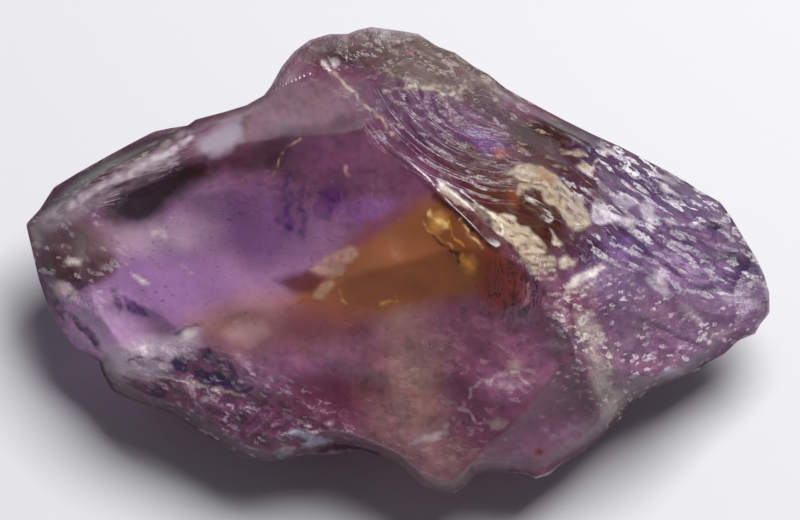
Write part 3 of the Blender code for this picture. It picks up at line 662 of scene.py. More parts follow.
# Areas with a drawn outline: softness of the border in pixels, colour, strength, whether they run through
# the stone, and their corners in the picture
Area = namedtuple("Area", "name blur colour strength through corners")
AREAS = [
    Area("citrine", 9, "#925e41", 0.95, True, [
        (296, 288), (330, 268), (345, 250), (372, 228), (396, 213), (425, 201), (440, 196), (470, 222),
        (494, 248), (503, 266), (496, 284), (468, 295), (430, 302), (395, 312), (345, 325), (305, 320),
        (290, 304),
    ]),
    Area("citrine_tail", 16, "#b3827a", 0.85, True, [
        (190, 320), (240, 300), (280, 294), (292, 306), (284, 330), (270, 345), (240, 350), (205, 340),
    ]),
    Area("citrine_foot", 13, "#925c5d", 0.8, True, [
        (284, 300), (340, 312), (380, 316), (360, 336), (320, 346), (280, 344),
    ]),
    Area("reddish_border", 5, "#7b485d", 0.7, True, [
        (340, 250), (372, 222), (400, 206), (408, 214), (384, 232), (352, 252),
    ]),
    Area("peach", 6, "#dfb2b0", 0.8, True, [
        (225, 332), (240, 322), (262, 322), (270, 332), (255, 342), (235, 342),
    ]),
    Area("red_brown", 8, "#86463c", 0.85, True, [
        (476, 242), (500, 250), (520, 272), (522, 300), (500, 312), (480, 300),
    ]),
    Area("gold_ground", 6, "#7d4e39", 0.8, False, [
        (424, 216), (440, 206), (462, 222), (474, 244), (462, 262), (438, 250),
    ]),
    Area("dark_chip", 4, "#5a2e24", 0.8, False, [
        (276, 279), (308, 270), (324, 276), (327, 283), (314, 293), (288, 290),
    ]),
    # Painted shade: the dark seen through the hollow behind the rounded ridge
    Area("smoky_hollow", 9, "#383232", 0.95, False, [
        (98, 204), (118, 189), (140, 179), (160, 169), (182, 161), (205, 160), (216, 168), (205, 179),
        (188, 190), (174, 202), (162, 216), (148, 225), (125, 227), (104, 220),
    ]),
    Area("rim_band", 3, "#363232", 0.9, False, [
        (22, 222), (38, 205), (52, 184), (77, 169), (102, 155), (128, 141), (153, 128), (168, 126),
        (188, 123), (192, 130), (176, 138), (160, 148), (146, 156), (134, 163), (118, 168), (104, 173),
        (92, 185), (80, 193), (66, 204), (50, 212), (38, 222), (30, 228),
    ]),
    Area("hollow_spots", 3, "#452a34", 0.8, False, [
        (188, 166), (206, 164), (208, 174), (196, 182), (188, 176),
    ]),
    Area("pale_square", 5, "#ad9fb0", 0.9, False, [
        (197, 141), (212, 131), (225, 125), (240, 118), (241, 140), (232, 149), (214, 157), (200, 151),
    ]),
    Area("grey_low_left", 7, "#dccada", 0.8, False, [
        (108, 350), (130, 342), (160, 337), (185, 331), (202, 329), (197, 345), (192, 356), (172, 362),
        (168, 374), (140, 378), (118, 376), (106, 366),
    ]),
    Area("spine_foot", 5, "#bdaaa8", 0.85, False, [
        (574, 316), (586, 314), (600, 324), (599, 340), (594, 350), (602, 362), (613, 385), (624, 400),
        (622, 415), (608, 426), (600, 412), (594, 395), (588, 375), (586, 350), (577, 335),
    ]),
    Area("fracture_shade", 3, "#5a3628", 0.85, False, [
        (466, 184), (500, 176), (520, 180), (520, 198), (514, 212), (500, 214), (488, 204), (474, 196),
    ]),
    Area("fracture_orange", 3, "#8a4c2c", 0.85, False, [
        (506, 190), (518, 186), (520, 200), (516, 210), (508, 208),
    ]),
    Area("dark_cleft", 2, "#4a2a1c", 0.95, False, [
        (430, 190), (442, 197), (456, 206), (470, 215), (482, 226), (492, 238), (500, 246), (496, 252),
        (484, 244), (472, 233), (458, 221), (444, 209), (432, 198),
    ]),
    # The feather's rim and the cream blob: partly their own cream, partly painted reflection off the crack
    # inside
    Area("feather_rim", 1.6, "#b4a496", 0.95, False, [
        (437, 185), (444, 183), (452, 190), (462, 198), (472, 203), (482, 208), (492, 213), (498, 217),
        (490, 223), (480, 218), (470, 211), (458, 206), (447, 198), (439, 191),
    ]),
    Area("cream_blob", 1.6, "#d0bda6", 1.0, False, [
        (488, 213), (500, 216), (509, 218), (517, 224), (526, 228), (535, 236), (541, 244), (545, 252),
        (541, 256), (534, 258), (528, 262), (524, 258), (516, 250), (508, 244), (500, 240), (494, 232),
        (488, 224),
    ]),
    Area("hook", 1.6, "#b5a28c", 1.0, False, [
        (503, 175), (512, 170), (520, 165), (530, 165), (540, 168), (549, 172), (557, 177), (563, 184),
        (567, 190), (573, 196), (580, 204), (586, 212), (590, 221), (585, 227), (578, 231), (570, 231),
        (564, 225), (561, 216), (555, 209), (549, 206), (542, 200), (538, 194), (533, 190), (525, 190),
        (520, 196), (516, 195), (517, 188), (521, 182), (512, 179),
    ]),
    Area("hook_orange", 3, "#a57858", 0.8, False, [
        (534, 171), (544, 171), (553, 178), (552, 186), (542, 182), (535, 177),
    ]),
    Area("hook_inside", 2.5, "#4c2c22", 0.95, False, [
        (521, 198), (530, 193), (540, 200), (550, 208), (556, 212), (560, 218), (557, 227), (551, 232),
        (546, 241), (538, 237), (529, 227), (519, 214), (515, 205),
    ]),
    Area("cream_fibres", 1.6, "#c0b09c", 0.9, False, [
        (516, 254), (530, 260), (552, 257), (555, 264), (548, 270), (530, 271), (520, 263),
    ]),
    Area("cream_bit_one", 1.4, "#cfbfb0", 0.95, False, [
        (556, 260), (565, 256), (575, 259), (571, 267), (559, 269),
    ]),
    Area("cream_bit_two", 1.4, "#c8bcae", 0.95, False, [
        (548, 230), (553, 236), (560, 242), (558, 247), (552, 245), (549, 238),
    ]),
    Area("white_streak", 1.6, "#ece0da", 0.95, False, [
        (561, 287), (570, 278), (584, 270), (598, 264), (605, 266), (592, 276), (576, 284), (565, 289),
    ]),
    Area("lobe_flake", 1.5, "#cfc2d0", 0.95, False, [
        (592, 222), (590, 210), (594, 199), (601, 206), (607, 213), (618, 216), (628, 218), (634, 220),
        (632, 230), (622, 227), (612, 225), (600, 225),
    ]),
    Area("lobe_flake_two", 1.5, "#c6bac6", 0.9, False, [
        (640, 203), (648, 200), (650, 209), (653, 222), (650, 233), (643, 224), (639, 213),
    ]),
    Area("lobe_flake_three", 1.5, "#bdb0c0", 0.8, False, [
        (606, 196), (618, 194), (634, 198), (640, 203), (628, 209), (614, 206),
    ]),
    Area("rim_pale_one", 1.5, "#c3b5ba", 0.95, False, [
        (660, 184), (668, 184), (673, 192), (666, 194), (660, 189),
    ]),
    Area("rim_pale_two", 1.5, "#b5a6ac", 0.9, False, [
        (664, 174), (674, 176), (680, 182), (674, 184), (666, 180),
    ]),
    Area("rim_pale_three", 1.4, "#d8cfc4", 0.95, False, [
        (598, 149), (607, 148), (616, 151), (613, 156), (602, 155),
    ]),
    Area("shoulder_pale_one", 1.4, "#b5a290", 0.95, False, [
        (562, 152), (573, 152), (582, 150), (588, 155), (578, 158), (566, 156),
    ]),
    Area("shoulder_pale_two", 1.4, "#bcac98", 0.95, False, [
        (573, 167), (585, 163), (594, 169), (591, 176), (580, 173),
    ]),
    Area("lobe_sugar_one", 2, "#cdbfcb", 0.85, False, [
        (643, 278), (652, 274), (660, 275), (665, 284), (670, 293), (664, 297), (655, 288), (648, 286),
    ]),
    Area("lobe_sugar_two", 3, "#b3a3b6", 0.8, False, [
        (720, 299), (736, 288), (748, 291), (762, 302), (764, 310), (752, 308), (738, 302), (728, 305),
    ]),
    Area("lobe_sugar_three", 2.5, "#b5a4b6", 0.8, False, [
        (676, 306), (685, 305), (693, 312), (701, 318), (698, 323), (688, 318), (678, 312),
    ]),
    Area("lobe_sugar_four", 3, "#a08896", 0.7, False, [
        (706, 336), (716, 329), (732, 326), (734, 334), (722, 342), (708, 346),
    ]),
    Area("lobe_sugar_five", 2.5, "#b5a6bd", 0.85, False, [
        (656, 374), (666, 366), (680, 369), (686, 376), (672, 381),
    ]),
    Area("chip_upper", 1.8, "#a98679", 0.9, False, [
        (309, 268), (318, 262), (330, 256), (345, 247), (356, 247), (358, 254), (352, 260), (346, 265),
        (343, 272), (335, 276), (320, 274),
    ]),
    Area("chip_lower", 1.8, "#a37f6a", 0.9, False, [
        (313, 295), (322, 284), (330, 279), (335, 284), (329, 292), (322, 299), (316, 299),
    ]),
    # The three gold patches are painted golden glints in the citrine
    Area("gold_one", 4, "#d29a58", 0.7, False, [
        (430, 216), (438, 213), (444, 219), (442, 230), (435, 234), (431, 226),
    ]),
    Area("gold_two", 4, "#d69850", 0.55, False, [
        (461, 258), (470, 255), (475, 262), (471, 273), (465, 274), (460, 266),
    ]),
    Area("gold_three", 3, "#a86c38", 0.6, False, [(449, 246), (458, 250), (462, 258), (454, 257)]),
    Area("black_flake_one", 1.4, "#3a2d52", 0.95, False, [
        (171, 361), (178, 356), (185, 358), (191, 362), (191, 368), (186, 372), (177, 369),
    ]),
    Area("black_flake_two", 1.4, "#3a2d52", 0.95, False, [
        (203, 348), (210, 346), (213, 353), (211, 360), (206, 359),
    ]),
    Area("black_flake_three", 1.4, "#3a2d52", 0.95, False, [
        (196, 372), (203, 368), (213, 370), (223, 372), (231, 377), (243, 383), (258, 386), (248, 391),
        (237, 389), (222, 385), (207, 384), (198, 378),
    ]),
    Area("black_flake_four", 1.6, "#46345c", 0.9, False, [
        (216, 358), (226, 360), (233, 364), (239, 371), (243, 377), (236, 376), (228, 369), (219, 364),
    ]),
    Area("dark_blob", 2, "#3c2d42", 0.9, False, [
        (146, 393), (153, 387), (161, 386), (168, 391), (166, 398), (156, 399),
    ]),
    Area("tip_flake", 1.8, "#3a2942", 0.9, False, [
        (50, 292), (62, 305), (65, 318), (62, 333), (53, 322), (49, 308),
    ]),
    Area("tip_blade", 1.8, "#57455f", 0.9, False, [
        (67, 309), (78, 317), (90, 328), (99, 340), (102, 351), (97, 351), (88, 340), (76, 326),
    ]),
    Area("tip_wedge", 1.8, "#b8a8b8", 0.9, False, [
        (63, 325), (72, 329), (83, 340), (90, 347), (80, 346), (68, 337),
    ]),
    Area("triangle_one", 1.6, "#664c6c", 0.85, False, [
        (112, 288), (118, 286), (122, 300), (120, 313), (114, 304),
    ]),
    Area("triangle_two", 1.6, "#584270", 0.85, False, [
        (123, 295), (131, 298), (140, 306), (151, 316), (138, 315), (128, 310),
    ]),
    Area("milky_patch", 1.8, "#b69fa8", 0.9, False, [
        (409, 442), (417, 437), (425, 432), (436, 430), (446, 423), (449, 423), (447, 431), (438, 437),
        (427, 438),
    ]),
    Area("veil_spot", 1.8, "#a89788", 0.8, False, [(506, 368), (514, 359), (520, 364), (517, 371)]),
    Area("veil_spot_two", 2.5, "#a3928e", 0.7, False, [
        (487, 419), (497, 416), (507, 420), (502, 427), (491, 427),
    ]),
    Area("veil_window", 1.8, "#a890a0", 0.8, False, [
        (496, 379), (512, 379), (514, 384), (505, 388), (496, 386),
    ]),
    Area("pale_flat", 2.5, "#9c8292", 0.8, False, [
        (541, 343), (548, 338), (562, 339), (562, 346), (548, 349),
    ]),
    Area("blue_white", 1.6, "#bcc0d2", 0.9, False, [
        (284, 431), (300, 430), (318, 434), (333, 439), (322, 443), (312, 447), (303, 443), (307, 437),
        (292, 434),
    ]),
    Area("pale_foot", 2, "#b5acba", 0.7, False, [
        (276, 450), (284, 445), (293, 447), (288, 455), (279, 457),
    ]),
    Area("window_gleam", 2, "#dcc5cd", 0.9, False, [(152, 231), (163, 230), (166, 238), (154, 238)]),
    Area("left_gleam", 1.4, "#fff2f4", 1.0, False, [(130, 275), (140, 276), (149, 283), (140, 282)]),
    Area("low_gleam", 1.2, "#fffafc", 1.0, False, [
        (181, 339), (187, 333), (198, 331), (189, 340), (183, 342),
    ]),
    Area("tip_gleam", 1.6, "#f0e6dc", 0.95, False, [(64, 261), (70, 258), (83, 259), (82, 264), (70, 265)]),
    Area("knob_gleam", 1.4, "#fffcff", 1.0, False, [(329, 58), (336, 57), (340, 62), (336, 67), (332, 66)]),
    Area("pink_gleam", 1.6, "#d09a9c", 0.85, False, [(344, 167), (348, 166), (350, 176), (347, 177)]),
    Area("red_spot", 1.2, "#7a1c10", 0.95, False, [
        (533, 448), (538, 444), (544, 448), (541, 452), (535, 451),
    ]),
    Area("brown_spot", 1.2, "#382420", 0.95, False, [(430, 484), (434, 483), (435, 487), (432, 489)]),
    Area("pink_speck", 1.2, "#b87888", 0.9, False, [(404, 51), (411, 51), (411, 55), (404, 55)]),
    Area("teal_speck", 1.2, "#3c5c5c", 0.85, False, [(406, 56), (412, 56), (412, 60), (406, 60)]),
]

# Narrow lines: half width in pixels, colour, strength and their corners in the picture
Vein = namedtuple("Vein", "name half_width colour strength corners")
VEINS = [
    # The next two lines are a painted satin highlight along the rounded ridge below the upper-left rim
    Vein("ridge_glow", 11, "#a3959b", 0.75, [
        (44, 221), (62, 216), (82, 203), (100, 192), (120, 180), (146, 168), (166, 158),
    ]),
    Vein("ridge", 4, "#d0c4ca", 0.8, [
        (56, 216), (78, 203), (100, 187), (118, 178), (134, 172), (152, 161), (172, 151), (189, 139),
    ]),
    Vein("ridge_dark_one", 3, "#54444a", 0.7, [(96, 196), (112, 187), (128, 183)]),
    Vein("ridge_dark_two", 3, "#54444a", 0.7, [(140, 176), (156, 170), (170, 160)]),
    Vein("rim_dark_one", 4.5, "#3a2a2a", 0.85, [
        (40, 206), (60, 186), (84, 172), (108, 160), (132, 147), (150, 136),
    ]),
    Vein("rim_dark_two", 3, "#4a3a3a", 0.8, [(54, 202), (76, 188), (98, 176), (120, 166)]),
    Vein("ridge_branch", 1.5, "#a8988c", 0.8, [(128, 171), (136, 160), (145, 153)]),
    Vein("rim_wedge", 3, "#a39594", 0.8, [(164, 145), (176, 136), (187, 133)]),
    Vein("indigo_one", 4.5, "#443060", 0.65, [(289, 174), (286, 186), (290, 200), (286, 214), (292, 228)]),
    Vein("indigo_loop", 3, "#443060", 0.6, [
        (320, 194), (329, 196), (334, 207), (329, 219), (320, 216), (318, 205),
    ]),
    Vein("indigo_tail", 2.5, "#443060", 0.6, [(284, 208), (277, 218), (285, 226), (300, 232)]),
    Vein("indigo_two", 3, "#443060", 0.6, [(297, 178), (303, 191), (299, 205), (306, 219), (303, 236)]),
    Vein("fine_crack", 1.0, "#b0917e", 0.7, [(273, 178), (279, 160), (288, 147), (302, 137)]),
    Vein("window_crack", 0.9, "#8e6076", 0.5, [(342, 190), (343, 220), (341, 252), (343, 268)]),
    # The next two lines are a painted highlight along the spine's crest
    Vein("spine_ridge", 1.5, "#c9b8b0", 0.85, [
        (321, 61), (330, 71), (340, 80), (352, 92), (364, 104), (374, 114),
    ]),
    Vein("spine_ridge_low", 2.2, "#b3a096", 0.8, [(371, 112), (382, 122), (388, 132), (398, 140)]),
    Vein("shoulder_fold", 1.8, "#a89a94", 0.75, [(376, 32), (387, 42), (396, 54)]),
    Vein("shoulder_edge", 1.8, "#c2b6a4", 0.8, [
        (383, 92), (396, 90), (410, 88), (430, 90), (448, 95), (462, 91),
    ]),
    Vein("shoulder_edge_top", 1.5, "#b5a896", 0.75, [
        (390, 72), (404, 80), (420, 86), (440, 88), (466, 88),
    ]),
    # The next four gold streaks are painted golden glints in the citrine
    Vein("gold_streak_one", 2.4, "#f0c684", 0.95, [(430, 213), (437, 220), (444, 229)]),
    Vein("gold_streak_two", 1.4, "#dca060", 0.85, [(424, 222), (432, 233), (441, 241), (450, 246)]),
    Vein("gold_streak_three", 1.3, "#c8884a", 0.8, [(445, 222), (452, 234), (461, 246)]),
    Vein("gold_streak_four", 2.6, "#eaa850", 0.95, [(459, 257), (465, 263), (471, 271)]),
    Vein("gold_streak_dark", 2.0, "#4a2a1c", 0.85, [(434, 236), (444, 246), (455, 252), (458, 262)]),
    # Painted glint along the cleft
    Vein("cleft_spark", 1.4, "#e6c08c", 0.9, [(459, 221), (466, 228), (472, 238), (481, 246)]),
    # Painted highlight on the feather's rim
    Vein("feather_light", 2.0, "#f2e8d0", 1.0, [(474, 205), (484, 211), (493, 218)]),
    Vein("hook_crack", 1.2, "#4a3024", 0.85, [(504, 176), (520, 181), (536, 186), (558, 190)]),
    Vein("fracture_line_one", 1.2, "#a89a92", 0.8, [(462, 178), (486, 184), (512, 182)]),
    Vein("fracture_line_two", 1.2, "#a0907f", 0.8, [(468, 190), (484, 198), (500, 204)]),
    Vein("fracture_line_three", 1.0, "#8f7f78", 0.8, [(440, 176), (462, 180), (480, 178)]),
    Vein("hook_arc_one", 1.0, "#7a6c5c", 0.7, [(522, 204), (532, 198), (544, 206), (550, 214)]),
    Vein("hook_arc_two", 1.0, "#6a5a4c", 0.7, [(522, 210), (533, 205), (543, 212), (546, 220)]),
    Vein("gash_fibre_one", 1.1, "#5c4236", 0.8, [(506, 238), (518, 234), (528, 235)]),
    Vein("gash_fibre_two", 1.1, "#5c4236", 0.8, [(514, 248), (526, 246), (538, 247)]),
    Vein("gash_fibre_three", 1.0, "#4e362c", 0.8, [(517, 256), (532, 255), (548, 257)]),
    Vein("gash_fibre_four", 1.1, "#4e362c", 0.8, [(520, 263), (534, 264), (552, 262)]),
    Vein("gash_fibre_five", 1.0, "#4e362c", 0.75, [(526, 268), (540, 268), (554, 267)]),
    Vein("gash_edge", 1.6, "#3e2620", 0.85, [(486, 224), (496, 236), (508, 246), (518, 258), (528, 268)]),
    Vein("hook_fibre_one", 1.1, "#5a4034", 0.8, [(554, 186), (558, 196), (558, 206)]),
    Vein("hook_fibre_two", 1.1, "#5a4034", 0.8, [(560, 186), (565, 197), (566, 208)]),
    Vein("hook_fibre_three", 1.0, "#6a4e40", 0.75, [(514, 180), (526, 176), (540, 180)]),
    Vein("hook_fibre_four", 1.0, "#6a4e40", 0.75, [(528, 184), (542, 188), (552, 196)]),
    Vein("hook_fibre_five", 1.0, "#6a4e40", 0.75, [(566, 212), (574, 218), (580, 226)]),
    Vein("fibre_one", 1.1, "#cfc0ae", 0.85, [(528, 272), (542, 273), (554, 270)]),
    Vein("fibre_two", 1.1, "#c3b2a4", 0.85, [(534, 278), (545, 279), (555, 277)]),
    Vein("fibre_three", 1.1, "#d2c2b8", 0.85, [(562, 292), (576, 290), (590, 284)]),
    Vein("lobe_flake_edge", 1.2, "#4a3648", 0.85, [(591, 223), (604, 226), (620, 227), (634, 231)]),
    Vein("lobe_glint", 1.2, "#e8dce6", 0.9, [(620, 248), (628, 253)]),
    Vein("lobe_line_one", 1.3, "#d9cfe2", 0.85, [(662, 240), (680, 246), (696, 252), (712, 264)]),
    Vein("lobe_line_two", 1.5, "#ddd3e2", 0.85, [(650, 216), (670, 222), (690, 226), (706, 228)]),
    Vein("shoulder_tick", 1.4, "#c9c0c4", 0.85, [(588, 174), (598, 160)]),
    Vein("edge_red", 1.8, "#5a2a3a", 0.85, [(560, 288), (568, 304), (571, 320), (573, 338), (569, 352)]),
    Vein("tick_one", 1.3, "#d6c0c6", 0.85, [(552, 304), (564, 311)]),
    Vein("tick_two", 1.3, "#d9c4c8", 0.85, [(558, 294), (570, 298)]),
    Vein("tick_three", 1.2, "#c9b2ba", 0.85, [(560, 323), (570, 325)]),
    Vein("streak_one", 2.0, "#4a2226", 0.7, [(511, 262), (512, 284), (512, 304)]),
    Vein("streak_two", 2.2, "#522a30", 0.7, [(521, 276), (527, 292), (528, 306)]),
    Vein("streak_pale", 1.6, "#c4a6a8", 0.7, [(523, 284), (525, 296), (522, 304)]),
    Vein("veil_one", 1.3, "#bda9b2", 0.8, [
        (469, 395), (471, 388), (478, 382), (487, 380), (494, 374), (506, 371),
    ]),
    Vein("veil_two", 1.3, "#bca8b0", 0.8, [(506, 371), (516, 372), (520, 380), (530, 386)]),
    Vein("veil_three", 1.3, "#b8a4aa", 0.8, [(458, 408), (466, 408), (471, 414), (474, 420), (480, 423)]),
    Vein("scratch_one", 0.9, "#bda0a8", 0.7, [(491, 341), (500, 347), (512, 352)]),
    Vein("scratch_two", 0.9, "#9c7888", 0.6, [(493, 323), (499, 330), (506, 335)]),
    Vein("chip_line", 1.0, "#bc9268", 0.8, [(339, 288), (343, 300), (350, 309)]),
    Vein("citrine_line", 1.2, "#b88e5c", 0.8, [(380, 304), (390, 301), (398, 300)]),
    Vein("flake_edge", 1.8, "#ada196", 0.9, [(195, 381), (210, 387), (228, 391), (245, 394)]),
    Vein("flake_line", 1.2, "#9d8e92", 0.7, [(186, 384), (196, 398), (206, 411)]),
    Vein("foot_line_one", 1.4, "#efe4ea", 0.9, [(178, 344), (188, 337), (200, 331)]),
    Vein("foot_line_two", 1.3, "#d8cad4", 0.85, [(120, 352), (140, 347), (158, 345), (176, 350)]),
    Vein("foot_line_three", 1.3, "#4c3a48", 0.8, [(128, 362), (146, 356), (164, 358)]),
    Vein("foot_line_four", 1.3, "#d8cad4", 0.8, [(150, 372), (166, 378), (184, 380), (200, 386)]),
    Vein("foot_line_five", 1.3, "#4c3a48", 0.8, [(118, 372), (136, 384), (156, 402)]),
    Vein("olive_edge", 2.0, "#6a5850", 0.8, [(177, 334), (190, 328), (205, 321)]),
    Vein("tip_crack", 1.6, "#4b3b56", 0.85, [(63, 305), (70, 296), (78, 287), (88, 282)]),
    Vein("tip_line_pale", 0.9, "#c2b2ba", 0.8, [(65, 314), (78, 329), (92, 345)]),
    Vein("tip_line_dark", 1.0, "#3a2c3a", 0.8, [(68, 314), (81, 329), (95, 345)]),
    Vein("tip_edge_dark", 1.8, "#34242e", 0.85, [(43, 283), (50, 292), (58, 303), (66, 312)]),
    Vein("window_line", 1.0, "#b592ba", 0.6, [(122, 290), (138, 300), (152, 308)]),
    Vein("window_line_two", 1.0, "#b99cb0", 0.6, [(178, 266), (186, 270), (194, 275)]),
]

# Fine markings: their layer, ellipse and the softness of its border, the point they run around or their
# direction in degrees, length and width in mm, the share of them shown, colour, strength and rise in mm.
# Shades and flecks are small plates, lines are narrow ridges of noise.
Grain = namedtuple("Grain", "name layer zone softness around turn length width share colour strength rise")
# The bright flecks stand partly for pale specks of the break and partly for painted glints.
GRAINS = [
    Grain(
        "lobe_shades", "shades", Zone(682, 214, 136, 92, -30), 0.25, (860, -140), 0,
        1.3, 0.42, 0.38, "#4a365e", 0.62, -0.01,
    ),
    Grain(
        "lobe_flecks", "flecks", Zone(682, 212, 132, 88, -30), 0.25, (860, -140), 0,
        0.95, 0.26, 0.3, "#f4eef8", 1.0, 0.0,
    ),
    Grain(
        "lobe_lines", "lines", Zone(664, 205, 112, 56, -28), 0.4, (860, -140), 0,
        5.0, 1.0, 0.1, "#3a2844", 0.75, -0.05,
    ),
    Grain(
        "lobe_low_flecks", "flecks", Zone(656, 330, 122, 74, 24), 0.35, None, 20,
        0.46, 0.2, 0.13, "#e6d8e4", 0.8, 0.0,
    ),
    Grain(
        "lobe_low_shades", "shades", Zone(656, 330, 122, 74, 24), 0.35, None, 20,
        1.2, 0.7, 0.34, "#604862", 0.5, -0.01,
    ),
    Grain(
        "face_shades", "shades", Zone(446, 134, 90, 42, -30), 0.4, (520, 20), 0,
        7.0, 0.4, 0.34, "#4a3350", 0.6, -0.01,
    ),
    Grain(
        "face_lines", "lines", Zone(440, 138, 86, 42, -32), 0.4, (520, 20), 0,
        11.0, 0.5, 0.11, "#cdb9d2", 0.7, 0.05,
    ),
    Grain(
        "shoulder_net", "lines", Zone(428, 68, 92, 40, -18), 0.4, None, -14,
        1.8, 0.9, 0.12, "#bdb0a0", 0.5, 0.04,
    ),
    Grain(
        "shoulder_flecks", "flecks", Zone(440, 88, 140, 64, -26), 0.5, None, -24,
        0.6, 0.32, 0.2, "#cbbfc0", 0.5, 0.0,
    ),
    Grain(
        "dark_flecks", "flecks", Zone(566, 150, 62, 30, -26), 0.4, None, -20,
        0.7, 0.3, 0.16, "#a8947f", 0.8, 0.0,
    ),
    Grain(
        "rim_mottles", "flecks", Zone(106, 160, 112, 24, 28), 0.4, None, 30,
        0.8, 0.34, 0.26, "#8a7c7c", 0.65, 0.0,
    ),
    Grain(
        "ridge_fibres", "lines", Zone(112, 184, 92, 15, 28), 0.4, None, 17,
        3.0, 0.3, 0.16, "#d6cace", 0.6, 0.03,
    ),
    Grain(
        "window_pits", "shades", Zone(240, 250, 150, 84, 8), 0.4, None, 0,
        0.24, 0.18, 0.03, "#4a3050", 0.4, -0.01,
    ),
    Grain(
        "foot_glints", "flecks", Zone(594, 362, 84, 32, -70), 0.5, None, -20,
        0.5, 0.24, 0.26, "#f2eadf", 0.95, 0.0,
    ),
    Grain(
        "foot_pale", "flecks", Zone(238, 408, 126, 48, -22), 0.45, None, -24,
        0.46, 0.2, 0.15, "#cdbccc", 0.7, 0.0,
    ),
    Grain(
        "foot_dark", "shades", Zone(238, 408, 126, 48, -22), 0.45, None, -24,
        1.0, 0.45, 0.28, "#331f30", 0.5, -0.01,
    ),
    Grain(
        "lower_flecks", "flecks", Zone(500, 410, 122, 84, 12), 0.5, None, -16,
        0.55, 0.28, 0.12, "#b49aa6", 0.5, 0.0,
    ),
    Grain(
        "lower_shades", "shades", Zone(430, 380, 190, 104, 0), 0.5, None, 10,
        0.9, 0.5, 0.28, "#57354b", 0.25, -0.01,
    ),
    Grain(
        "red_streaks", "lines", Zone(512, 284, 34, 36, 0), 0.5, None, 86,
        2.6, 0.5, 0.32, "#3e181e", 0.85, -0.03,
    ),
    Grain(
        "cream_fibres", "shades", Zone(530, 224, 66, 40, -40), 0.4, None, -30,
        1.3, 0.16, 0.34, "#5a4234", 0.75, -0.01,
    ),
    Grain(
        "tip_flecks", "flecks", Zone(72, 270, 54, 70, 0), 0.5, None, -30,
        0.6, 0.24, 0.13, "#cfc3ca", 0.7, 0.0,
    ),
]
LAYERS = ("shades", "flecks", "lines")
NOISE_SPREAD = 0.115  # how far the noise usually strays from its middle
LINE_START, LINE_FULL = 1.5, 0.3  # where a line begins and is full, in shares of its width
GRAIN_EDGE = 0.03  # half the softness of a plate's border, as a share of the plates
GRAIN_GAP = 0.12  # over which difference of cover one marking gives way to the next
GRAIN_STRAY = ((0.7, 2.4),)
CLUMP_SIZE = 2.0  # mm, the clusters that the flecks lie in
CLUMP_MIDDLE, CLUMP_SWING, THINNEST_CLUMP = 0.72, 1.3, 0.12  # how dense they are
UNDER_MARKS = 0.4  # how much fainter the fine markings are on a drawn one
CELL_STRAY = 0.7  # how far the plates' borders stray, in shares of their size
CELL_LEAN_MM = 0.05  # how far the plates lean

# How the painted colour strays: pairs of shift and size in mm, and sizes in mm
TINT_STRAY = ((1.1, 5.0), (0.45, 1.6))
OUTLINE_STRAY = ((0.20, 1.3), (0.16, 0.5))
HUE_DRIFT, HUE_SIZES = 0.10, (3.2, 1.1)
CLOUDINESS, CLOUD_SIZES = 0.26, (0.95, 0.38)
CLEAR_ZONES = [Zone(205, 262, 135, 70, 6), Zone(400, 265, 105, 48, 18)]  # the glassy window and the wedge
CLEARNESS, CLEAR_SOFTNESS = 0.7, 0.4  # how much calmer the colour is there, and how softly that ends
BREAK_SIZE = 0.42  # mm, the gaps that break sharp outlines and narrow lines
AREA_HOLD, AREA_GAPS = 1.1, 1.2  # how whole an outline stays, and how deep its gaps go
LINE_HOLD, LINE_GAPS, FAINTEST_LINE = 0.75, 1.6, 0.1
SHARP_PX = 2.2  # outlines with a softer border aren't broken
WIDE_PX = 5  # nor are lines that are wider to each side
FIBRE_STRETCH = np.array([0.55, 1.5])  # the comb of the drawn markings, along and across the picture
FIBRE_SIZE, FIBRE_CONTRAST = 0.55, 0.60

# The dark seam of the sharp rim, which is painted shade, and painted highlights on the convex edges
RIM_COLOUR, RIM_SHADE, RIM_SHADE_FROM, RIM_SHADE_CURVE = "#42333a", 0.75, 0.935, 1.5
RIM_HOLD, FAINTEST_RIM = 0.85, 0.2  # how whole the seam stays
EDGE_COLOUR, EDGE_SHINE, EDGE_BENDS = "#c9bfd0", 0.3, (0.10, 0.40)

# The finest mottling of the hackly breaks
SPECKLE_MM = 0.25
SPECKLE_RISE_MM = 0.10
MOTTLE, MOTTLE_NOISE = 0.22, (0.3, 0.7)  # how far it lightens and darkens, between these noise values
BROKEN_NOISE = (0.36, 0.54)  # between these noise values it breaks up the fine markings

# How matt the surface is
GLASSY, SUGARY, CREAMY = 0.20, 0.24, 0.32
UNDER_SUGARY = 0.6  # the underside, all over
RIM_MATT, RIM_MATT_FROM = 0.55, 0.86
SATIN, SATIN_SOFTNESS = 0.42, 0.5
SATIN_ZONES = [
    Zone(305, 108, 110, 40, 10),
    Zone(215, 140, 40, 24, 20),
    Zone(112, 190, 90, 10, 28),
    Zone(566, 410, 66, 46, 30),
]

# The stage, in metres
CARD_SIZE = 0.6
CARD_COLOUR = "#b8b9bd"
WINDOW_PLACE, WINDOW_AIM, WINDOW_SIZE = (0.10, 0.10, 0.34), (0, 0, 0.005), 0.24
WINDOW_COLOUR = "#fffdfb"
ROOM_COLOUR = "#eceef6"
PICTURE_WIDTH_PX = 800
SENSOR_MM = 36.0
CLIP_START = 0.01


def linear(hex_colour):
    """An sRGB hex colour as linear red, green, blue and alpha."""
    channels = [int(hex_colour[i : i + 2], 16) / 255 for i in (1, 3, 5)]
    return tuple(c / 12.92 if c <= 0.04045 else ((c + 0.055) / 1.055) ** 2.4 for c in channels) + (1.0,)


def lifted(hex_colour):
    """The stone's own linear colour for a colour as it looks."""
    seen = np.array(linear(hex_colour)[:3])
    lift = np.maximum((seen - LIFT_SHEEN) * LIFT_GAIN, LIFT_RANGE[0])
    return lift * min(1.0, LIFT_RANGE[1] / lift.max())


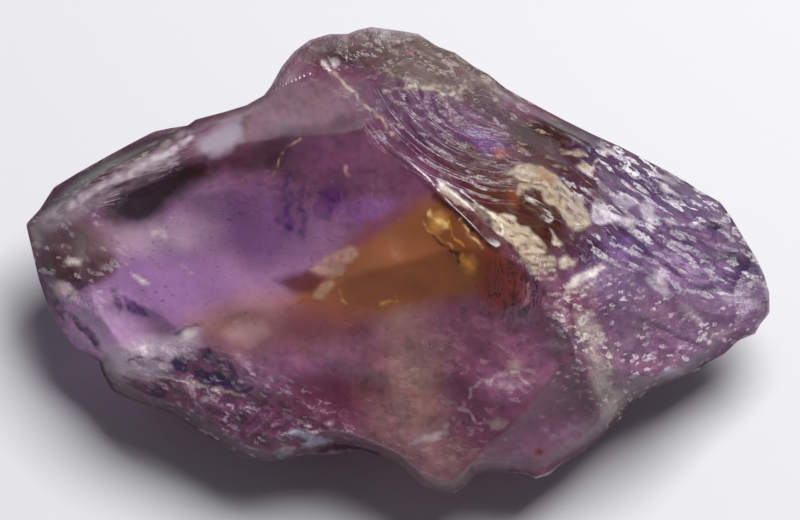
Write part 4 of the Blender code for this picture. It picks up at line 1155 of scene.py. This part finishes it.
def ellipse_mask(points, zone, softness):
    """1 inside the ellipse, falling smoothly to 0 over its soft border."""
    along, across = zone_axes(points, zone)
    share = np.clip((1.0 + softness - np.hypot(along, across)) / (2 * softness), 0.0, 1.0)
    return share * share * (3.0 - 2.0 * share)


def inside_corners(points, corners_px):
    """Whether each point lies inside the closed outline."""
    corners = np.array([to_mm(x, y) for x, y in corners_px])
    odd = np.zeros(len(points), bool)
    for start, end in zip(corners, np.roll(corners, -1, axis=0)):
        spans = (start[1] > points[:, 1]) != (end[1] > points[:, 1])
        rise = end[1] - start[1]
        crossing = start[0] + (points[:, 1] - start[1]) * (end[0] - start[0]) / (rise if rise else 1.0)
        odd ^= spans & (points[:, 0] < crossing)
    return odd


def area_mask(points, area):
    """1 inside the outline, falling to 0 over its blur."""
    away = distance_to_line(points, area.corners + area.corners[:1])
    signed = np.where(inside_corners(points, area.corners), away, -away)
    return np.clip(0.5 + signed / (2 * area.blur * MM_PER_PX), 0.0, 1.0)


def vein_mask(points, vein):
    """1 along the line, falling to 0 at its half width."""
    share = distance_to_line(points, vein.corners) / (vein.half_width * MM_PER_PX)
    return np.exp(-(share**4))


def strayed(points, amounts):
    """The points shifted by noise of two sizes, given as pairs of shift and size in mm."""
    moved = points.copy()
    for turn, (amount, size) in enumerate(amounts):
        seed = SEEDS["stray"] + 4 * turn
        shift = [waves(points, size, seed), waves(points, size, seed + 2)]
        moved += amount * np.stack(shift, axis=1)
    return moved


def rim_share(points, start):
    """0 up to a share of the way to the rim, and 1 on the rim."""
    return np.clip((share_of_reach(points) - start) / (1.0 - start), 0.0, 1.0)


def painted(points, upper):
    """The stone's colour at each point, with its painted shade, glow and highlights, and how much of it is
    drawn markings.
    """
    colour = np.tile(lifted(BODY_COLOUR), (len(points), 1))
    marked = np.zeros(len(points))

    def lay(shade, mask):
        colour[:] += (lifted(shade) - colour) * mask[:, None]

    far = strayed(points, TINT_STRAY)
    for tint in TINTS:
        mask = ellipse_mask(far, tint.zone, tint.softness) * tint.strength
        lay(tint.colour, mask if tint.through else mask * upper)
    calm = np.zeros(len(points))
    for zone in CLEAR_ZONES:
        calm = np.maximum(calm, ellipse_mask(points, zone, CLEAR_SOFTNESS))
    restless = 1.0 - CLEARNESS * calm
    for channel in range(3):
        drift = waves(points, HUE_SIZES[0], SEEDS["broad hue"] + channel)
        drift += 0.8 * waves(points, HUE_SIZES[1], SEEDS["fine hue"] + channel)
        colour[:, channel] *= 1.0 + HUE_DRIFT * drift * restless
    cloud = waves(points, CLOUD_SIZES[0], SEEDS["broad cloud"])
    cloud += waves(points, CLOUD_SIZES[1], SEEDS["fine cloud"])
    colour *= 1.0 + CLOUDINESS * (cloud * restless)[:, None]

    near = strayed(points, OUTLINE_STRAY)
    gaps = waves(points, BREAK_SIZE, SEEDS["gaps"])
    for area in AREAS:
        mask = area_mask(near, area) * area.strength
        if area.blur < SHARP_PX:
            mask *= np.clip(AREA_HOLD + AREA_GAPS * gaps, 0.0, 1.0)
            marked = np.maximum(marked, mask)
        lay(area.colour, mask if area.through else mask * upper)
    for vein in VEINS:
        mask = vein_mask(near, vein) * vein.strength * upper
        if vein.half_width < WIDE_PX:
            mask *= np.clip(LINE_HOLD + LINE_GAPS * gaps, FAINTEST_LINE, 1.0)
        lay(vein.colour, mask)
        marked = np.maximum(marked, mask)
    fibres = waves(points * FIBRE_STRETCH, FIBRE_SIZE, SEEDS["combed fibres"]) * 0.6
    fibres += waves(points, FIBRE_SIZE * 0.7, SEEDS["even fibres"]) * 0.4
    colour *= 1.0 + FIBRE_CONTRAST * (marked * fibres)[:, None]
    # Painted shade along the rim, broken into a seam
    rim = rim_share(points, RIM_SHADE_FROM) ** RIM_SHADE_CURVE
    lay(RIM_COLOUR, RIM_SHADE * rim * np.clip(RIM_HOLD + gaps, FAINTEST_RIM, 1.0))
    return colour, marked


def grain_place(points, towards, grain):
    """Places along and across a marking's run, in shares of its length and width."""
    if grain.around:
        far_point = np.array(to_mm(*grain.around))
        away = points - far_point
        middle = np.linalg.norm(np.array(to_mm(grain.zone.x, grain.zone.y)) - far_point)
        across = np.linalg.norm(away, axis=1)
        along = np.unwrap(np.arctan2(-away[:, 1], -away[:, 0])) * middle
    else:
        turn = math.radians(grain.turn)
        along = points[:, 0] * math.cos(turn) + points[:, 1] * math.sin(turn)
        across = points[:, 1] * math.cos(turn) - points[:, 0] * math.sin(turn)
    return np.column_stack([along / grain.length, across / grain.width, towards / grain.length])


def noise_band(grain):
    """Between which values of its pattern a marking begins and is full."""
    if grain.layer == "lines":
        width = NOISE_SPREAD * grain.share
        return width * LINE_START, width * LINE_FULL
    return 1.0 - grain.share - GRAIN_EDGE, 1.0 - grain.share + GRAIN_EDGE


def mattness(points, upper, sugary, marked):
    """The roughness of the surface at each point."""
    matt = GLASSY + (SUGARY - GLASSY) * sugary + (CREAMY - SUGARY) * marked
    matt = np.maximum(matt, RIM_MATT * rim_share(points, RIM_MATT_FROM))
    for zone in SATIN_ZONES:
        matt = np.maximum(matt, SATIN * ellipse_mask(points, zone, SATIN_SOFTNESS) * upper)
    return matt


def store_layer(mesh, layer, points, towards, marked):
    """Stores which fine marking of a layer lies on top at each point: its colour, place and noise band."""
    edged = strayed(points, GRAIN_STRAY)
    unmarked = 1.0 - UNDER_MARKS * marked
    cover, second = np.zeros(len(points)), np.zeros(len(points))
    shade, place, cut = [np.zeros((len(points), 3)) for _ in range(3)]
    for grain in GRAINS:
        if grain.layer != layer:
            continue
        mask = ellipse_mask(edged, grain.zone, grain.softness) * grain.strength * unmarked
        on_top = mask > cover
        second = np.maximum(second, np.minimum(mask, cover))
        cover[on_top] = mask[on_top]
        shade[on_top] = lifted(grain.colour)
        place[on_top] = grain_place(points, towards, grain)[on_top]
        cut[on_top] = (*noise_band(grain), grain.rise)
    cover *= np.clip((cover - second) / GRAIN_GAP, 0.0, 1.0)
    if layer == "flecks":
        clumps = waves(points, CLUMP_SIZE, SEEDS["clumps"])
        cover *= np.clip(CLUMP_MIDDLE + CLUMP_SWING * clumps, THINNEST_CLUMP, 1.0)
    store(mesh, layer + "_shade", "FLOAT_COLOR", "color", np.column_stack([shade, cover]))
    store(mesh, layer + "_place", "FLOAT_VECTOR", "vector", place)
    store(mesh, layer + "_cut", "FLOAT_VECTOR", "vector", cut)


def paint_mesh(mesh, points, towards, upper):
    """Stores the stone's colour, how sugary and how matt it is, and its layers of fine markings."""
    colour, marked = painted(points, upper)
    sugary = np.where(upper > 0.5, sugariness(points), UNDER_SUGARY)
    store(mesh, "tint", "FLOAT_COLOR", "color", np.column_stack([colour, np.ones(len(points))]))
    store(mesh, "sugary", "FLOAT", "value", sugary)
    store(mesh, "matt", "FLOAT", "value", mattness(points, upper, sugary, marked))
    for layer in LAYERS:
        store_layer(mesh, layer, points, towards, marked)


def layer_pattern(tree, layer, stray):
    """How much of one layer of fine markings shows, with its colour, its height and its lean in mm."""
    place = add(tree, "ShaderNodeAttribute", attribute_name=layer + "_place").outputs["Vector"]
    shade = add(tree, "ShaderNodeAttribute", attribute_name=layer + "_shade")
    cut = add(tree, "ShaderNodeAttribute", attribute_name=layer + "_cut").outputs["Vector"]
    start, full, rise = add(tree, "ShaderNodeSeparateXYZ", {0: cut}).outputs
    cover = shade.outputs["Alpha"]
    if layer == "lines":
        noise = {"Vector": place, "Scale": 1.0, "Detail": 2.0, "Roughness": 0.6}
        pattern = add(tree, "ShaderNodeTexNoise", noise).outputs[0]
        away = add(tree, "ShaderNodeMath", {0: pattern, 1: 0.5}, operation="SUBTRACT").outputs[0]
        drawn = add(tree, "ShaderNodeMath", {0: away}, operation="ABSOLUTE").outputs[0]
        lean = None
    else:
        place = add(tree, "ShaderNodeVectorMath", {0: place, 1: stray}, operation="ADD").outputs[0]
        cells = add(tree, "ShaderNodeTexVoronoi", {"Vector": place, "Scale": 1.0})
        draw, middle = cells.outputs["Color"], cells.outputs["Position"]
        drawn = add(tree, "ShaderNodeSeparateColor", {0: draw}).outputs[0]
        half = {0: draw, 1: (0.5, 0.5, 0.5)}
        way = add(tree, "ShaderNodeVectorMath", half, operation="SUBTRACT").outputs[0]
        off = add(tree, "ShaderNodeVectorMath", {0: place, 1: middle}, operation="SUBTRACT").outputs[0]
        tip = add(tree, "ShaderNodeVectorMath", {0: way, 1: off}, operation="DOT_PRODUCT").outputs["Value"]
        tip = add(tree, "ShaderNodeMath", {0: tip, 1: cover}, operation="MULTIPLY").outputs[0]
        lean = add(tree, "ShaderNodeMath", {0: tip, 1: CELL_LEAN_MM}, operation="MULTIPLY").outputs[0]
    shown = add(tree, "ShaderNodeMapRange", {"Value": drawn, "From Min": start, "From Max": full}).outputs[0]
    mask = add(tree, "ShaderNodeMath", {0: shown, 1: cover}, operation="MULTIPLY").outputs[0]
    return mask, shade.outputs["Color"], rise, lean


def rough_quartz(settings):
    """Clear quartz as broken: glassy where the break is smooth, sparkling where it is hackly."""
    material = bpy.data.materials.new("rough_ametrine_quartz")
    material.use_nodes = True
    tree = material.node_tree
    shader = tree.nodes["Principled BSDF"]
    output = tree.nodes["Material Output"]

    picture = add(tree, "ShaderNodeAttribute", attribute_name="picture").outputs["Vector"]
    edge = add(tree, "ShaderNodeAttribute", attribute_name="edge").outputs["Fac"]
    matt = add(tree, "ShaderNodeAttribute", attribute_name="matt").outputs["Fac"]
    sugary = add(tree, "ShaderNodeAttribute", attribute_name="sugary").outputs["Fac"]
    colour = add(tree, "ShaderNodeAttribute", attribute_name="tint").outputs["Color"]

    # The grain's mottling, which also frays the fine markings
    fine = {"Vector": picture, "Scale": 1.0 / SPECKLE_MM, "Detail": 3.0, "Roughness": 0.7}
    speckle = add(tree, "ShaderNodeTexNoise", fine)
    grain, random = speckle.outputs[0], speckle.outputs["Color"]
    low, high = MOTTLE_NOISE
    swing = {"Value": grain, "From Min": low, "From Max": high, "To Min": -MOTTLE, "To Max": MOTTLE}
    sway = add(tree, "ShaderNodeMapRange", swing).outputs[0]
    gain = add(tree, "ShaderNodeMath", {0: sway, 1: sugary, 2: 1.0}, operation="MULTIPLY_ADD").outputs[0]
    colour = add(tree, "ShaderNodeVectorMath", {0: colour, "Scale": gain}, operation="SCALE").outputs[0]
    low, high = BROKEN_NOISE
    broken = add(tree, "ShaderNodeMapRange", {"Value": grain, "From Min": low, "From Max": high}).outputs[0]
    sideways = {0: random, "Scale": CELL_STRAY}
    stray = add(tree, "ShaderNodeVectorMath", sideways, operation="SCALE").outputs[0]
    height = add(tree, "ShaderNodeMath", {0: grain, 1: sugary}, operation="MULTIPLY").outputs[0]
    height = add(tree, "ShaderNodeMath", {0: height, 1: SPECKLE_RISE_MM}, operation="MULTIPLY").outputs[0]

    for layer in LAYERS:
        mask, shade, rise, lean = layer_pattern(tree, layer, stray)
        mask = add(tree, "ShaderNodeMath", {0: mask, 1: broken}, operation="MULTIPLY").outputs[0]
        colour = add(tree, "ShaderNodeMix", {0: mask, 6: colour, 7: shade}, data_type="RGBA").outputs[2]
        raised = {0: mask, 1: rise, 2: height}
        height = add(tree, "ShaderNodeMath", raised, operation="MULTIPLY_ADD").outputs[0]
        if lean:
            height = add(tree, "ShaderNodeMath", {0: height, 1: lean}, operation="ADD").outputs[0]

    # Painted highlight along the convex edges
    low, high = EDGE_BENDS
    sharp = add(tree, "ShaderNodeMapRange", {"Value": edge, "From Min": low, "From Max": high}).outputs[0]
    shine = add(tree, "ShaderNodeMath", {0: sharp, 1: EDGE_SHINE}, operation="MULTIPLY").outputs[0]
    edged = {0: shine, 6: colour, 7: (*lifted(EDGE_COLOUR), 1.0)}
    colour = add(tree, "ShaderNodeMix", edged, data_type="RGBA").outputs[2]

    bump = add(tree, "ShaderNodeBump", {"Strength": 1.0, "Distance": METRES_PER_MM, "Height": height})
    tree.links.new(bump.outputs[0], shader.inputs["Normal"])
    tree.links.new(colour, shader.inputs["Base Color"])
    tree.links.new(matt, shader.inputs["Roughness"])
    shader.inputs["IOR"].default_value = settings.ior
    shader.inputs["Transmission Weight"].default_value = settings.clarity

    body = add(tree, "ShaderNodeVolumeAbsorption", {"Color": settings.body_colour[:] + (1.0,)})
    body.inputs["Density"].default_value = settings.body_density
    tree.links.new(body.outputs[0], output.inputs["Volume"])
    return material


def pale_card():
    """Smooth matt pale card: it throws a little light up into the stone."""
    material = bpy.data.materials.new("plain_pale_card")
    material.use_nodes = True
    shader = material.node_tree.nodes["Principled BSDF"]
    shader.inputs["Base Color"].default_value = linear(CARD_COLOUR)
    shader.inputs["Roughness"].default_value = 0.85
    shader.inputs["Specular IOR Level"].default_value = 0.2
    return material


def add_window_light(power):
    """One large soft light overhead, behind the stone and to its right."""
    light = bpy.data.lights.new("window", "AREA")
    light.size = WINDOW_SIZE
    light.energy = power
    light.color = linear(WINDOW_COLOUR)[:3]
    holder = bpy.data.objects.new("window", light)
    holder.location = WINDOW_PLACE
    holder.rotation_euler = (Vector(WINDOW_AIM) - Vector(WINDOW_PLACE)).to_track_quat("-Z", "Y").to_euler()
    bpy.context.scene.collection.objects.link(holder)


def add_camera(focal_length):
    """A far, narrow camera that sees the stone as steeply as its rim was read."""
    lens = bpy.data.cameras.new("camera")
    lens.lens = focal_length
    lens.sensor_width = SENSOR_MM
    lens.clip_start = CLIP_START
    width = PICTURE_WIDTH_PX * MM_PER_PX * METRES_PER_MM
    distance = width * lens.lens / lens.sensor_width
    camera = bpy.data.objects.new("camera", lens)
    camera.rotation_euler = (math.pi / 2 - VIEW_ELEVATION, 0.0, 0.0)
    back = Vector((0.0, -math.cos(VIEW_ELEVATION), math.sin(VIEW_ELEVATION)))
    camera.location = Vector(AIM) + back * distance
    bpy.context.scene.collection.objects.link(camera)
    bpy.context.scene.camera = camera


class AmetrineStone(bpy.types.PropertyGroup):
    clarity: bpy.props.FloatProperty(
        name="Clarity",
        description="Share of the light that passes into the quartz",
        default=0.5,
        min=0,
        max=1,
        subtype="FACTOR",
    )
    ior: bpy.props.FloatProperty(
        name="IOR", description="Refractive index of quartz", default=1.544, min=1, max=3
    )
    body_colour: bpy.props.FloatVectorProperty(
        name="Body colour",
        description="What is left of white light deep in the stone",
        subtype="COLOR",
        default=linear("#cdb4dc")[:3],
        min=0,
        max=1,
    )
    body_density: bpy.props.FloatProperty(
        name="Body density", description="How strongly the quartz absorbs, per metre", default=30.0, min=0
    )


class AmetrineStage(bpy.types.PropertyGroup):
    key_power: bpy.props.FloatProperty(
        name="Window light",
        description="Power of the large soft light overhead, to the right",
        default=2.65,
        min=0,
        subtype="POWER",
    )
    fill_strength: bpy.props.FloatProperty(
        name="Room light", description="Strength of the even light of the room", default=0.18, min=0
    )
    lens: bpy.props.FloatProperty(
        name="Lens", description="Focal length of the camera", default=400.0, subtype="DISTANCE_CAMERA"
    )


class AMETRINE_OT_stone(bpy.types.Operator):
    """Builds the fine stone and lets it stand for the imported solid"""

    bl_idname = "ametrine.add_stone"
    bl_label = "Add the stone"

    def execute(self, context):
        mesh = thinned(stone_mesh(CELLS))
        mesh.name = "rough_ametrine"
        mark_mesh(mesh)
        set_on_solid(mesh)
        mesh.shade_smooth()
        mesh.set_sharp_from_angle(angle=SHARP_ANGLE)
        mesh.materials.clear()
        mesh.materials.append(rough_quartz(context.scene.ametrine_stone))
        stone = bpy.data.objects.new("rough_ametrine", mesh)
        context.scene.collection.objects.link(stone)
        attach(stone, "root")
        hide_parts(STONE_NODE)
        return {"FINISHED"}


class AMETRINE_OT_stage(bpy.types.Operator):
    """Lays the plain card and sets the lights and the camera"""

    bl_idname = "ametrine.add_stage"
    bl_label = "Add the stage"

    def execute(self, context):
        stage = context.scene.ametrine_stage
        card = bmesh.new()
        bmesh.ops.create_grid(card, x_segments=1, y_segments=1, size=CARD_SIZE)
        sheet = bpy.data.meshes.new("card")
        card.to_mesh(sheet)
        card.free()
        sheet.materials.append(pale_card())
        floor = bpy.data.objects.new("card", sheet)
        context.scene.collection.objects.link(floor)

        add_window_light(stage.key_power)
        world = bpy.data.worlds.new("room")
        world.use_nodes = True
        room = world.node_tree.nodes["Background"]
        room.inputs["Color"].default_value = linear(ROOM_COLOUR)
        room.inputs["Strength"].default_value = stage.fill_strength
        context.scene.world = world
        add_camera(stage.lens)
        context.scene.view_settings.view_transform = "Standard"
        return {"FINISHED"}


class AMETRINE_PT_panel(bpy.types.Panel):
    bl_label = "Ametrine"
    bl_space_type = "VIEW_3D"
    bl_region_type = "UI"
    bl_category = "Ametrine"

    def draw(self, context):
        layout = self.layout
        for group, operator in (
            (context.scene.ametrine_stone, AMETRINE_OT_stone),
            (context.scene.ametrine_stage, AMETRINE_OT_stage),
        ):
            for name in type(group).__annotations__:
                layout.prop(group, name)
            layout.operator(operator.bl_idname)


CLASSES = (AmetrineStone, AmetrineStage, AMETRINE_OT_stone, AMETRINE_OT_stage, AMETRINE_PT_panel)


def register():
    for kind in CLASSES:
        bpy.utils.register_class(kind)
    bpy.types.Scene.ametrine_stone = bpy.props.PointerProperty(type=AmetrineStone)
    bpy.types.Scene.ametrine_stage = bpy.props.PointerProperty(type=AmetrineStage)


def unregister():
    del bpy.types.Scene.ametrine_stage
    del bpy.types.Scene.ametrine_stone
    for kind in reversed(CLASSES):
        bpy.utils.unregister_class(kind)


def main():
    register()
    bpy.ops.ametrine.add_stone()
    bpy.ops.ametrine.add_stage()


if __name__ == "__main__":
    main()
